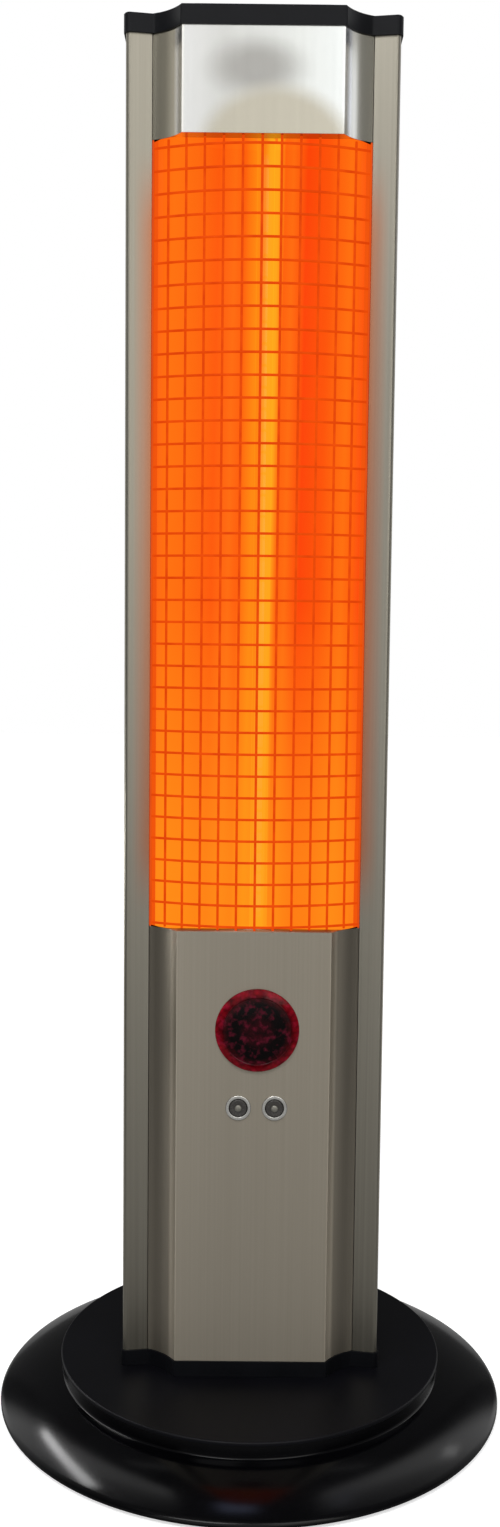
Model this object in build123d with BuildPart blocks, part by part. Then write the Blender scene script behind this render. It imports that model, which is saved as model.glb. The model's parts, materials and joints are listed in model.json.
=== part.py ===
from build123d import *
from math import asin, atan2, degrees
import os

# Infrared patio heater tower on a round weighted base.
# Millimetres, +Z up, front towards -Y, origin on the floor under the middle of the base.

os.makedirs("parts", exist_ok=True)

# ---------------------------------------------------------------- driving sizes
# Round base
base_d = 400.0  # saucer across its rim
base_h = 38.0  # floor to the flat top the tower stands on
rim_gap = 3.0  # air under the saucer's rim
rim_h = 3.0  # height of the rim's upright edge
shell_t = 2.5  # wall of the pressed saucer
slope_run = 49.5  # width of the saucer's slope
neck_z = 24.5  # where the slope meets the upright wall under the top plate
slope_r = 135.0  # radius of the saucer's convex slope
slope_steps = 3  # cones that make up the slope, few of them to keep the model light
top_plate_lip = 1.5  # the top plate stands this far past that wall
top_plate_t = 3.0
top_plate_bevel = 1.2
foot_d = 24.0
foot_h = 5.0
foot_inset = 35.0  # a foot's middle inside the rim
foot_count = 5
bottom_plate_t = 2.0
ballast_w = 200.0
ballast_d = 160.0
ballast_t = 19.0
ballast_corner = 12.0

# Bolts that tie the tower to the base
bolt_d = 8.0
bolt_head_af = 13.0
bolt_head_h = 5.5
bolt_nut_h = 6.5
bolt_span_x = 110.0
bolt_span_y = 34.0
bolt_play = 0.25
bolt_past_nut = 3.0
nut_play = 0.05
bracket_t = 3.0
bracket_w = 150.0
bracket_front_gap = 28.0  # bracket behind the tower's front
bracket_back_gap = 7.0
bracket_lip = 12.0

# Tower outline, seen from above
column_w = 200.0
column_d = 114.0
flat_w = 117.0  # flat face of the front covers
valley_w = 161.0  # between the grooves where covers and side rails meet
valley_back = 19.0  # groove behind the flat face
band_back = 15.4  # outer front edge behind the flat face
cove_rise = 2.7  # hollow of the cove between flat face and groove
front_corner_r = 3.0
back_corner_r = 12.0

# Extruded side rails
rail_wall = 2.0
rail_web = 1.6
seam_gap = 0.4  # open seam between a cover and the rail's front band
hook_clearance = 0.4
shelf_reach = 4.0  # web past the seam, towards the middle
back_opening_w = 152.0  # between the rails' rear edges
ledge_reach = 10.0  # ledge behind the back cover
port_d = 8.0  # screw ports that run the length of the rail
port_bore = 3.4
port_slit = 1.6
port_inset = 5.5  # port's middle inside the rail's outer side
back_port_inset = 19.0

# End caps
cap_rim = 1.5  # the caps stand this far proud of the tower
cap_pocket = 4.0  # the tower stands this deep in each cap
cap_clearance = 0.15
bottom_cap_h = 12.5
top_cap_h = 14.0
cap_edge = 1.0
port_hole_d = 4.5
crown_shift = 3.0  # towards the back
crown_w = 125.0
crown_d = 88.0
crown_h = 8.0
crown_taper = 25.0
crown_r = 14.0

# Sheet covers and the heater window between them
cover_t = 1.2
cover_flange = 7.0  # the cover's edge turns this far back in the groove
cover_hook = 4.2  # then this far outwards behind the rail's lip
lower_cover_h = 342.0
window_h = 582.8
upper_cover_h = 78.7
sill_depth = 11.0  # folded edge of a cover at the window
back_cover_gap = 0.3
slot_w = 62.0
slot_h = 4.0
slot_pitch = 9.0
slot_rows = 9
slot_bank_inset = 70.0
hole_play = 0.2
back_screw_inset = 54.0

# Welded wire grille, bowed towards the front
wire_af = 1.9  # wires, across their flats
wire_sides = 6
wire_steps = 5  # straight runs that make up a cross wire's bow, few of them to keep the model light
cross_pitch = 16.4
cross_first = 1.9  # lowest wire above the window's lower edge
upright_pitch = 14.2  # along the bow

# Lamp, reflector and heat shield
axis_x = 3.0  # lamp, lens and buttons stand this far right of the middle
lamp_back = 37.0  # lamp's middle behind the flat front
lamp_d = 13.0
lamp_wall = 1.2
lamp_over = 16.5  # tube's end past the window's edge, so that its ceramics are out of sight
element_d = 5.0
ceramic_wall = 2.0  # square ceramic ends round the tube
ceramic_l = 26.0
ceramic_grip = 10.0  # ceramic over the end of the quartz tube
holder_w = 30.0
holder_d = 24.0
holder_h = 14.0
reflector_t = 0.8
reflector_over = 8.5  # reflector past each end of the window
reflector_overlap = 9.5  # its edges lie this far over the rails' webs
reflector_mouth_in = 3.5  # from the webs' inner edges to the trough's mouth
reflector_waist_in = 13.0  # from the mouth to the waist
reflector_waist_back = 23.0
reflector_floor_in = 27.0  # from the waist to the floor
reflector_floor_back = 37.0
reflector_ridge_back = 41.0
shield_t = 0.8
shield_overlap = 5.5  # its wall starts this far outside the webs' inner edges
shield_floor_in = 16.0
shield_back = 58.0
end_plate_t = 1.2
cutout_d = 15.0
cutout_h = 8.0
cutout_drop = 60.0
cutout_tab_w = 24.0
cutout_tab_t = 1.0

# Receiver lens, buttons and their boards
lens_drop = 75.7  # lens's middle below the window
lens_d = 64.0
lens_edge = 1.4
lens_bevel = 6.0
lens_rise = 5.0
lens_wall = 2.0
lens_lip = 3.0  # the lens stands this far past its barrel
lens_barrel_l = 8.0
button_drop = 136.4  # buttons' middle below the window
button_pitch = 27.7
button_d = 13.4
button_proud = 1.6
button_collar_step = 1.5
button_collar_t = 1.5
button_stem_d = 5.0
button_stem_l = 6.0
button_travel = 1.2
button_gap = 0.3
dot_d = 5.3
dot_t = 0.8
bezel_wall = 1.3
bezel_lip = 1.45
bezel_edge = 1.0
bezel_barrel_l = 6.0
chassis_t = 1.2
chassis_overlap = 12.5  # its edges lie this far over the rails' webs
chassis_under = 52.1  # below the buttons' middle
chassis_over = 42.2  # above the lens's middle
chassis_fold = 8.0
chassis_fold_inset = 6.0
board_t = 1.6
receiver_board_back = 16.0  # board behind the flat front
receiver_board_w = 32.0
receiver_eye_w = 10.0
receiver_eye_t = 6.0
switch_board_w = 58.0
switch_board_h = 18.0
spacer_inset = 8.0
spacer_af = 5.5
power_board_w = 110.0
power_board_h = 116.0
power_spacer_l = 6.0
relay_w = 28.0
relay_h = 22.0
relay_t = 16.0
switch_body = 6.0
switch_body_t = 3.5
plunger_d = 3.5
plunger_l = 1.2

# Tip-over switch, terminal block and cable gland
tip_x = 28.0
tip_y = -6.0
tip_w = 24.0
tip_d = 22.0
tip_h = 40.0
tip_wall = 2.0
tip_pin_d = 3.0
tip_pivot_drop = 7.0
tip_arm_l = 20.0
tip_bob_d = 12.0
tip_bob_t = 12.0
tip_hub_d = 9.0
tip_arm_w = 4.0
terminal_x = -20.0
terminal_y = 4.0
terminal_w = 48.0
terminal_d = 20.0
terminal_h = 18.0
terminal_ways = 5
tip_gap = 0.3
gland_rise = 31.5  # above the rails' lower end
gland_thread_d = 16.0
gland_af = 22.0
gland_hex_t = 5.0
gland_thread_l = 12.0
gland_dome_d = 19.0
gland_dome_l = 12.0
gland_bore = 8.2
gland_nut_t = 4.0
gland_edge = 2.2

# Round pieces with flats, to keep the model light: hidden ones and small holes, then small ones that show
light_sides = 12
shown_sides = 24

# ---------------------------------------------------------------- places worked out from them
front_y = -column_d / 2
back_y = column_d / 2
flat_x = flat_w / 2
valley_x = valley_w / 2
valley_y = front_y + valley_back
band_y = front_y + band_back
base_r = base_d / 2
neck_r = base_r - slope_run
plate_z = base_h - top_plate_t
bracket_front = front_y + bracket_front_gap
bracket_back = back_y - bracket_back_gap
rail_z = base_h + bottom_cap_h - cap_pocket
rail_l = lower_cover_h + window_h + upper_cover_h
rail_top = rail_z + rail_l
cap_z = rail_top - cap_pocket
cap_top = cap_z + top_cap_h
window_z = rail_z + lower_cover_h
window_top = window_z + window_h
web_y = valley_y + cover_flange  # front of the rail's inner web
web_back = web_y + rail_web
shelf_x = valley_x - shelf_reach
ledge_y = back_y - cover_t  # the back cover lies on the ledge, flush with the rails
port_x = column_w / 2 - port_inset
lens_r = lens_d / 2
barrel_r = lens_r - lens_lip
bezel_barrel_r = button_d / 2 + button_gap + bezel_wall
ports = [(port_x, web_back + port_d / 2 - rail_web / 2), (port_x, back_y - back_port_inset)]
all_ports = ports + [(-x, y) for x, y in ports]
bolts = GridLocations(bolt_span_x, bolt_span_y, 2, 2)
wire_y = front_y + cover_t + wire_af / 2  # foremost point of a cross wire's midline
grille_x = valley_x - cover_t  # cross wires end at the side strips' inner faces
wire_bow = valley_y + wire_af / 2 - wire_y  # and flush with the strips' front edges
grille_r = (grille_x**2 + wire_bow**2) / (2 * wire_bow)
wire_angle = 2 * degrees(asin(valley_x / grille_r))  # a little past the ends, which are trimmed
chassis_y = web_back
lens_z = window_z - lens_drop
button_z = window_z - button_drop
gland_z = rail_z + gland_rise
button_xs = [axis_x - button_pitch / 2, axis_x + button_pitch / 2]
reflector_z = window_z - reflector_over
reflector_l = window_h + 2 * reflector_over
back_screw_x = (back_opening_w - ledge_reach) / 2
back_screw_zs = [rail_z + back_screw_inset, rail_z + rail_l / 2, rail_top - back_screw_inset]
slot_banks = [window_z + slot_bank_inset, window_top - slot_bank_inset]
cross_count = 1 + int((window_h - cross_first - wire_af) / cross_pitch)
uprights_each_side = int((grille_r * asin(grille_x / grille_r) - wire_af) / upright_pitch)


# ---------------------------------------------------------------- shared outlines
def column_shape():
    """The tower's outline: flat front, coves, side bands and a rounded back."""
    with BuildSketch() as shape:
        with BuildLine():
            Line((0, front_y), (flat_x, front_y))
            SagittaArc((flat_x, front_y), (valley_x, valley_y), cove_rise)
            Polyline((valley_x, valley_y), (column_w / 2, band_y), (column_w / 2, back_y), (0, back_y))
            mirror(about=Plane.YZ)
        make_face()
        fillet(shape.vertices().group_by(Axis.Y)[1], front_corner_r)
        fillet(shape.vertices().group_by(Axis.Y)[-1], back_corner_r)
    return shape.sketch


outline = column_shape()


def front_section():
    """Section of a front cover: its sheet, with edges that turn back and hook behind the rails."""
    with BuildSketch() as section:
        add(outline)
        offset(outline, amount=-cover_t, mode=Mode.SUBTRACT)
        with Locations((0, valley_y)):
            Rectangle(valley_w, column_d, align=(Align.CENTER, Align.MAX), mode=Mode.INTERSECT)
        add(edge_section())
    return section.sketch


def edge_section():
    """The turned-back edge that sits in both rails' grooves, for covers and grille alike."""
    with BuildSketch() as section:
        with Locations((valley_x, valley_y)):
            Rectangle(cover_t, cover_flange, align=(Align.MAX, Align.MIN))
        with Locations((valley_x - cover_t, web_y)):
            Rectangle(cover_t + cover_hook, cover_t, align=(Align.MIN, Align.MAX))
        mirror(about=Plane.YZ)
    return section.sketch


def sill_section():
    """The folded lip that closes a front cover at the window."""
    with BuildSketch() as section:
        offset(outline, amount=-cover_t)
        with Locations((0, front_y + cover_t)):
            Rectangle(valley_w, sill_depth, align=(Align.CENTER, Align.MIN), mode=Mode.INTERSECT)
    return section.sketch


def rail_section():
    """Section of the right-hand rail."""
    with BuildSketch() as section:
        add(outline)
        offset(outline, amount=-rail_wall, mode=Mode.SUBTRACT)
        with Locations((valley_x + seam_gap, 0)):
            Rectangle(column_w, column_d, align=(Align.MAX, Align.MAX), mode=Mode.SUBTRACT)
        with Locations((back_opening_w / 2, 0)):
            Rectangle(column_w, column_d, align=(Align.MAX, Align.MIN), mode=Mode.SUBTRACT)
        # lip in front of the cover's hook, and the web behind it
        with Locations((valley_x + seam_gap, valley_y)):
            Rectangle(
                rail_web,
                cover_flange - cover_t - hook_clearance,
                align=(Align.MIN, Align.MIN),
            )
        with Locations((shelf_x, web_y)):
            Rectangle(column_w / 2 - rail_wall / 2 - shelf_x, rail_web, align=(Align.MIN, Align.MIN))
        # ledge for the back cover
        with Locations((back_opening_w / 2 - ledge_reach, ledge_y)):
            Rectangle(ledge_reach + rail_wall, rail_wall, align=(Align.MIN, Align.MAX))
        # screw ports, slit towards the middle
        with Locations(*ports):
            RegularPolygon(port_d / 2, light_sides)
        with Locations(*ports):
            RegularPolygon(port_bore / 2, light_sides, major_radius=False, mode=Mode.SUBTRACT)
            Rectangle(port_d / 2, port_slit, align=(Align.MAX, Align.CENTER), mode=Mode.SUBTRACT)
    return section.sketch


def folded_sheet(points, thickness):
    """Section of a folded sheet, symmetric about the middle, from its right-hand midline points."""
    with BuildLine() as midline:
        Polyline(*points)
        mirror(about=Plane.YZ)
    with BuildSketch() as section:
        trace(midline.line, line_width=thickness)
    return section.sketch


def cut_bolt_holes(top):
    """Cuts the base bolts' holes down through the part that is being built, from its given top."""
    with BuildSketch(Plane.XY.offset(top)) as holes:
        with bolts:
            RegularPolygon(bolt_d / 2 + bolt_play, light_sides, major_radius=False)
    extrude(holes.sketch, amount=-column_d, mode=Mode.SUBTRACT)


def cut_port_holes(top):
    """Cuts the clearance holes of the cap screws, in line with the rails' ports."""
    with BuildSketch(Plane.XY.offset(top)) as holes:
        with Locations(*all_ports):
            RegularPolygon(port_hole_d / 2, light_sides, major_radius=False)
    extrude(holes.sketch, amount=-top_cap_h, mode=Mode.SUBTRACT)


# ---------------------------------------------------------------- round base
with BuildPart() as base_saucer:
    with BuildSketch(Plane.XZ):
        with BuildLine():
            with BuildLine(mode=Mode.PRIVATE):
                slope = RadiusArc((base_r, rim_gap + rim_h), (neck_r, neck_z), -slope_r)
            under = slope @ 0.5 + (slope % 0.5).rotate(Axis.Z, 90) * shell_t
            inner_foot = Vector(base_r - shell_t, rim_gap)
            Polyline(
                *[slope @ (i / slope_steps) for i in range(slope_steps + 1)],
                (neck_r, plate_z),
                (0, plate_z),
                (0, plate_z - shell_t),
                (neck_r - shell_t, plate_z - shell_t),
                (neck_r - shell_t, neck_z - shell_t),
                (under.X, under.Y),
                (inner_foot.X, inner_foot.Y),
                (base_r, rim_gap),
                close=True,
            )
        make_face()
    revolve(axis=Axis.Z)
    cut_bolt_holes(plate_z)
base_saucer.part.label = "base_saucer"
export_step(base_saucer.part, "parts/base_saucer.step")

with BuildPart() as base_top_plate:
    with BuildSketch(Plane.XY.offset(plate_z)):
        Circle(neck_r + top_plate_lip)
    extrude(amount=top_plate_t)
    chamfer(base_top_plate.faces().sort_by(Axis.Z)[-1].edges(), top_plate_bevel)
    cut_bolt_holes(base_h)
base_top_plate.part.label = "base_top_plate"
export_step(base_top_plate.part, "parts/base_top_plate.step")

# the bottom plate's upper edge seats on the underside of the saucer's slope
seat = (foot_h + bottom_plate_t - inner_foot.Y) / (under.Y - inner_foot.Y)
bottom_plate_r = inner_foot.X + seat * (under.X - inner_foot.X)
with BuildPart() as base_bottom_plate:
    with BuildSketch(Plane.XY.offset(foot_h)):
        Circle(bottom_plate_r)
    extrude(amount=bottom_plate_t)
base_bottom_plate.part.label = "base_bottom_plate"
export_step(base_bottom_plate.part, "parts/base_bottom_plate.step")

with BuildPart() as base_ballast:
    with BuildSketch(Plane.XY.offset(plate_z - shell_t)):
        RectangleRounded(ballast_w, ballast_d, ballast_corner)
    extrude(amount=-ballast_t)
    cut_bolt_holes(plate_z - shell_t)
base_ballast.part.label = "base_ballast"
export_step(base_ballast.part, "parts/base_ballast.step")

with BuildPart() as rubber_feet:
    with BuildSketch():
        with PolarLocations(base_r - foot_inset, foot_count, start_angle=180 / foot_count):
            RegularPolygon(foot_d / 2, light_sides)
    extrude(amount=foot_h)
rubber_feet.part.label = "rubber_feet"
export_step(rubber_feet.part, "parts/rubber_feet.step")

# ---------------------------------------------------------------- bolts between base and tower
bolt_seat = plate_z - shell_t - ballast_t
bracket_top = rail_z + bracket_t
with BuildPart() as column_bolts:
    with BuildSketch(Plane.XY.offset(bolt_seat)):
        with bolts:
            RegularPolygon(bolt_head_af / 2, 6, major_radius=False)
    extrude(amount=-bolt_head_h)
    with BuildSketch(Plane.XY.offset(bolt_seat)):
        with bolts:
            RegularPolygon(bolt_d / 2, light_sides)
    extrude(amount=bracket_top + bolt_nut_h + bolt_past_nut - bolt_seat)
column_bolts.part.label = "column_bolts"
export_step(column_bolts.part, "parts/column_bolts.step")

with BuildPart() as column_bracket:
    with BuildSketch(Plane.XY.offset(rail_z)):
        with Locations((0, (bracket_front + bracket_back) / 2)):
            Rectangle(bracket_w, bracket_back - bracket_front)
    extrude(amount=bracket_t)
    with BuildSketch(Plane.XY.offset(bracket_top)):
        with Locations((0, bracket_front)):
            Rectangle(bracket_w, bracket_t, align=(Align.CENTER, Align.MIN))
        with Locations((0, bracket_back)):
            Rectangle(bracket_w, bracket_t, align=(Align.CENTER, Align.MAX))
    extrude(amount=bracket_lip)
    # weld nuts for the bolts
    with BuildSketch(Plane.XY.offset(bracket_top)):
        with bolts:
            RegularPolygon(bolt_head_af / 2, 6, major_radius=False)
    extrude(amount=bolt_nut_h)
    cut_bolt_holes(bracket_top + bolt_nut_h)
column_bracket.part.label = "column_bracket"
export_step(column_bracket.part, "parts/column_bracket.step")

# ---------------------------------------------------------------- end caps
with BuildPart() as bottom_cap:
    with BuildSketch(Plane.XY.offset(base_h)):
        offset(outline, amount=cap_rim)
    extrude(amount=bottom_cap_h)
    with BuildSketch(Plane.XY.offset(rail_z)):
        offset(outline, amount=cap_clearance)
    extrude(amount=cap_pocket, mode=Mode.SUBTRACT)
    cut_bolt_holes(rail_z)
    cut_port_holes(rail_z)
bottom_cap.part.label = "bottom_cap"
export_step(bottom_cap.part, "parts/bottom_cap.step")

with BuildPart() as top_cap:
    with BuildSketch(Plane.XY.offset(cap_z)):
        offset(outline, amount=cap_rim)
    extrude(amount=top_cap_h - cap_edge)
    # bevelled upper edge
    with BuildSketch(Plane.XY.offset(cap_top - cap_edge)):
        offset(outline, amount=cap_rim)
    with BuildSketch(Plane.XY.offset(cap_top)):
        offset(outline, amount=cap_rim - cap_edge)
    loft(ruled=True)
    with BuildSketch(Plane.XY.offset(cap_z)):
        offset(outline, amount=cap_clearance)
    extrude(amount=cap_pocket, mode=Mode.SUBTRACT)
    # low crown in the middle, set back from the front
    with BuildSketch(Plane.XY.offset(cap_top)):
        with Locations((0, crown_shift)):
            RectangleRounded(crown_w, crown_d, crown_r)
    extrude(amount=crown_h, taper=crown_taper)
    cut_port_holes(cap_top)
top_cap.part.label = "top_cap"
export_step(top_cap.part, "parts/top_cap.step")

# ---------------------------------------------------------------- rails and covers
for label, right in (("right_rail", True), ("left_rail", False)):
    with BuildPart() as rail:
        with BuildSketch(Plane.XY.offset(rail_z)):
            add(rail_section())
        extrude(amount=rail_l)
        if not right:
            mirror(about=Plane.YZ, mode=Mode.REPLACE)
    rail.part.label = label
    export_step(rail.part, f"parts/{label}.step")

with BuildPart() as lower_front_cover:
    with BuildSketch(Plane.XY.offset(rail_z)):
        add(front_section())
    extrude(amount=lower_cover_h)
    with BuildSketch(Plane.XY.offset(window_z)):
        add(sill_section())
    extrude(amount=-cover_t)
    with BuildSketch(Plane.XZ.offset(-front_y)):
        with Locations((axis_x, lens_z)):
            RegularPolygon(barrel_r + hole_play, light_sides)
        with Locations(*[(x, button_z) for x in button_xs]):
            RegularPolygon(bezel_barrel_r + hole_play, light_sides)
    extrude(amount=-cover_t, mode=Mode.SUBTRACT)
lower_front_cover.part.label = "lower_front_cover"
export_step(lower_front_cover.part, "parts/lower_front_cover.step")

with BuildPart() as upper_front_cover:
    with BuildSketch(Plane.XY.offset(window_top)):
        add(front_section())
    extrude(amount=rail_top - window_top)
    with BuildSketch(Plane.XY.offset(window_top)):
        add(sill_section())
    extrude(amount=cover_t)
upper_front_cover.part.label = "upper_front_cover"
export_step(upper_front_cover.part, "parts/upper_front_cover.step")

with BuildPart() as back_cover:
    with BuildSketch(Plane.XZ.offset(-back_y)):
        with Locations((0, rail_z)):
            Rectangle(back_opening_w - 2 * back_cover_gap, rail_l, align=(Align.CENTER, Align.MIN))
        # two banks of cooling slots behind the heater, and the cable gland's hole
        for bank_z in slot_banks:
            with Locations((0, bank_z)):
                with GridLocations(slot_w, slot_pitch, 1, slot_rows):
                    Rectangle(slot_w, slot_h, mode=Mode.SUBTRACT)
        with Locations((0, gland_z)):
            Circle(gland_thread_d / 2 + hole_play, mode=Mode.SUBTRACT)
        with Locations(*[(x, z) for x in (-back_screw_x, back_screw_x) for z in back_screw_zs]):
            RegularPolygon(port_hole_d / 2, light_sides, major_radius=False, mode=Mode.SUBTRACT)
    extrude(amount=cover_t)
back_cover.part.label = "back_cover"
export_step(back_cover.part, "parts/back_cover.step")

# ---------------------------------------------------------------- welded wire grille
with BuildPart() as cross_wire:
    with BuildLine() as wire_path:
        with BuildLine(mode=Mode.PRIVATE):
            bow = CenterArc((0, wire_y + grille_r), grille_r, -90 - wire_angle / 2, wire_angle)
        Polyline(*[bow @ (i / wire_steps) for i in range(wire_steps + 1)])
    with BuildSketch(Plane(origin=wire_path.line @ 0, z_dir=wire_path.line % 0, x_dir=(0, 0, 1))):
        RegularPolygon(wire_af / 2, wire_sides, major_radius=False)
    sweep(transition=Transition.RIGHT)
    for side in (-1, 1):
        split(bisect_by=Plane.YZ.offset(side * grille_x),
              keep=Keep.BOTTOM if side > 0 else Keep.TOP)

with BuildPart() as grille_cross_wires:
    with Locations(*[(0, 0, window_z + cross_first + wire_af / 2 + i * cross_pitch)
                     for i in range(cross_count)]):
        add(cross_wire.part)
grille_cross_wires.part.label = "grille_cross_wires"
export_step(grille_cross_wires.part, "parts/grille_cross_wires.step")

with BuildPart() as grille_upright_wires:
    with BuildSketch(Plane.XY.offset(window_z)):
        for i in range(-uprights_each_side, uprights_each_side + 1):
            # welded behind the cross wires, square to the run that it touches
            along = 0.5 + i * upright_pitch / wire_path.wire().length
            run = wire_path.wire() % along
            spot = wire_path.wire() @ along + run.rotate(Axis.Z, 90) * wire_af
            with Locations(Location((spot.X, spot.Y, 0), (0, 0, degrees(atan2(run.Y, run.X))))):
                RegularPolygon(wire_af / 2, wire_sides, major_radius=False)
    extrude(amount=window_h)
grille_upright_wires.part.label = "grille_upright_wires"
export_step(grille_upright_wires.part, "parts/grille_upright_wires.step")

with BuildPart() as grille_side_strips:
    with BuildSketch(Plane.XY.offset(window_z)):
        add(edge_section())
    extrude(amount=window_h)
grille_side_strips.part.label = "grille_side_strips"
export_step(grille_side_strips.part, "parts/grille_side_strips.step")

# ---------------------------------------------------------------- lamp, reflector and heat shield
mouth_x = shelf_x - reflector_mouth_in
waist_x = mouth_x - reflector_waist_in
trough = [
    (shelf_x + reflector_overlap, web_back + reflector_t / 2),
    (mouth_x, web_back + reflector_t / 2),
    (waist_x, web_back + reflector_waist_back),
    (waist_x - reflector_floor_in, web_back + reflector_floor_back),
    (0, web_back + reflector_ridge_back),
]
with BuildPart() as reflector:
    with BuildSketch(Plane.XY.offset(reflector_z)):
        add(folded_sheet(trough, reflector_t))
    extrude(amount=reflector_l)
reflector.part.label = "reflector"
export_step(reflector.part, "parts/reflector.step")

with BuildPart() as heat_shield:
    with BuildSketch(Plane.XY.offset(reflector_z)):
        shield_y = web_back + reflector_t + shield_t / 2
        shield_x = shelf_x + shield_overlap
        add(folded_sheet([
            (shelf_x + reflector_overlap, shield_y),
            (shield_x, shield_y),
            (shield_x - shield_floor_in, web_back + shield_back),
            (0, web_back + shield_back),
        ], shield_t))
    extrude(amount=reflector_l)
heat_shield.part.label = "heat_shield"
export_step(heat_shield.part, "parts/heat_shield.step")

lamp_z = window_z - lamp_over
lamp_l = window_h + 2 * lamp_over
lamp_spot = (axis_x, front_y + lamp_back)
ceramic_w = lamp_d + 2 * ceramic_wall
for end, way in (("lower", -1), ("upper", 1)):
    trough_end = reflector_z if way < 0 else reflector_z + reflector_l
    tube_end = lamp_z if way < 0 else lamp_z + lamp_l
    with BuildPart() as end_plate:
        with BuildSketch(Plane.XY.offset(trough_end)):
            with BuildLine():
                Polyline(*trough[1:])
                mirror(about=Plane.YZ)
                Line((-trough[1][0], trough[1][1]), trough[1])
            make_face()
            offset(amount=reflector_t / 2, kind=Kind.INTERSECTION)
            with Locations(lamp_spot):
                Rectangle(ceramic_w + hole_play, ceramic_w + hole_play, mode=Mode.SUBTRACT)
        extrude(amount=way * end_plate_t)
    end_plate.part.label = f"{end}_end_plate"
    export_step(end_plate.part, f"parts/{end}_end_plate.step")

    with BuildPart() as lamp_holder:
        with BuildSketch(Plane.XY.offset(trough_end + way * end_plate_t)):
            with Locations(lamp_spot):
                Rectangle(holder_w, holder_d)
                Rectangle(ceramic_w + hole_play, ceramic_w + hole_play, mode=Mode.SUBTRACT)
        extrude(amount=way * holder_h)
    lamp_holder.part.label = f"{end}_lamp_holder"
    export_step(lamp_holder.part, f"parts/{end}_lamp_holder.step")

    with BuildPart() as lamp_ceramic:
        with BuildSketch(Plane.XY.offset(tube_end - way * ceramic_grip)):
            with Locations(lamp_spot):
                Rectangle(ceramic_w, ceramic_w)
        extrude(amount=way * ceramic_l)
        with BuildSketch(Plane.XY.offset(tube_end - way * ceramic_grip)):
            with Locations(lamp_spot):
                RegularPolygon(lamp_d / 2 + nut_play, light_sides, major_radius=False)
        extrude(amount=way * ceramic_grip, mode=Mode.SUBTRACT)
    lamp_ceramic.part.label = f"{end}_lamp_ceramic"
    export_step(lamp_ceramic.part, f"parts/{end}_lamp_ceramic.step")

with BuildPart() as lamp_tube:
    with BuildSketch(Plane.XY.offset(lamp_z)):
        with Locations(lamp_spot):
            Circle(lamp_d / 2)
            Circle(lamp_d / 2 - lamp_wall, mode=Mode.SUBTRACT)
    extrude(amount=lamp_l)
lamp_tube.part.label = "lamp_tube"
export_step(lamp_tube.part, "parts/lamp_tube.step")

with BuildPart() as lamp_element:
    with BuildSketch(Plane.XY.offset(lamp_z)):
        with Locations(lamp_spot):
            RegularPolygon(element_d / 2, light_sides)
    extrude(amount=lamp_l)
lamp_element.part.label = "lamp_element"
export_step(lamp_element.part, "parts/lamp_element.step")

with BuildPart() as thermal_cutout:
    with BuildSketch(Plane.XZ.offset(-(web_back + shield_back + shield_t / 2))):
        with Locations((0, window_top - cutout_drop)):
            Rectangle(cutout_tab_w, cutout_d / 2)
    extrude(amount=-cutout_tab_t)
    with BuildSketch(Plane.XZ.offset(-(web_back + shield_back + shield_t / 2))):
        with Locations((0, window_top - cutout_drop)):
            RegularPolygon(cutout_d / 2, light_sides)
    extrude(amount=-cutout_h)
thermal_cutout.part.label = "thermal_cutout"
export_step(thermal_cutout.part, "parts/thermal_cutout.step")

# ---------------------------------------------------------------- receiver lens and its board
with BuildPart() as receiver_lens:
    with BuildSketch(Plane.XZ.offset(-front_y)):
        with Locations((axis_x, lens_z)):
            RegularPolygon(lens_r, 2 * shown_sides)
    extrude(amount=lens_rise)
    chamfer(receiver_lens.faces().sort_by(Axis.Y)[0].edges(), lens_rise - lens_edge, lens_bevel)
    with BuildSketch(Plane.XZ.offset(-front_y)):
        with Locations((axis_x, lens_z)):
            RegularPolygon(barrel_r, light_sides)
            RegularPolygon(barrel_r - lens_wall, light_sides, mode=Mode.SUBTRACT)
    extrude(amount=-lens_barrel_l)
receiver_lens.part.label = "receiver_lens"
export_step(receiver_lens.part, "parts/receiver_lens.step")

receiver_board_y = front_y + receiver_board_back
with BuildPart() as receiver_board:
    with BuildSketch(Plane.XZ.offset(-receiver_board_y)):
        with Locations((axis_x, lens_z)):
            Rectangle(receiver_board_w, receiver_board_w)
    extrude(amount=-board_t)
    with BuildSketch(Plane.XZ.offset(-receiver_board_y)):
        with Locations((axis_x, lens_z)):
            Rectangle(receiver_eye_w, receiver_eye_w)
    extrude(amount=receiver_eye_t)
    chamfer(receiver_board.faces().sort_by(Axis.Y)[0].edges(), receiver_eye_t / 3)
receiver_board.part.label = "receiver_board"
export_step(receiver_board.part, "parts/receiver_board.step")

# ---------------------------------------------------------------- buttons
bezel_back = front_y + bezel_barrel_l
collar_y = bezel_back + button_gap / 3
stem_y = collar_y + button_collar_t
stem_end = stem_y + button_stem_l
plunger_y = stem_end + button_travel + nut_play
switch_y = plunger_y + plunger_l
switch_board_y = switch_y + switch_body_t
with BuildPart() as button_bezels:
    with BuildSketch(Plane.XZ.offset(-front_y)):
        with Locations(*[(x, button_z) for x in button_xs]):
            RegularPolygon(bezel_barrel_r + bezel_lip, shown_sides)
    extrude(amount=bezel_edge)
    with BuildSketch(Plane.XZ.offset(-front_y)):
        with Locations(*[(x, button_z) for x in button_xs]):
            RegularPolygon(bezel_barrel_r, light_sides)
    extrude(amount=-bezel_barrel_l)
    with BuildSketch(Plane.XZ.offset(-bezel_back)):
        with Locations(*[(x, button_z) for x in button_xs]):
            RegularPolygon(button_d / 2 + button_gap, shown_sides, major_radius=False)
    extrude(amount=bezel_barrel_l + bezel_edge, mode=Mode.SUBTRACT)
button_bezels.part.label = "button_bezels"
export_step(button_bezels.part, "parts/button_bezels.step")

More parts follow.
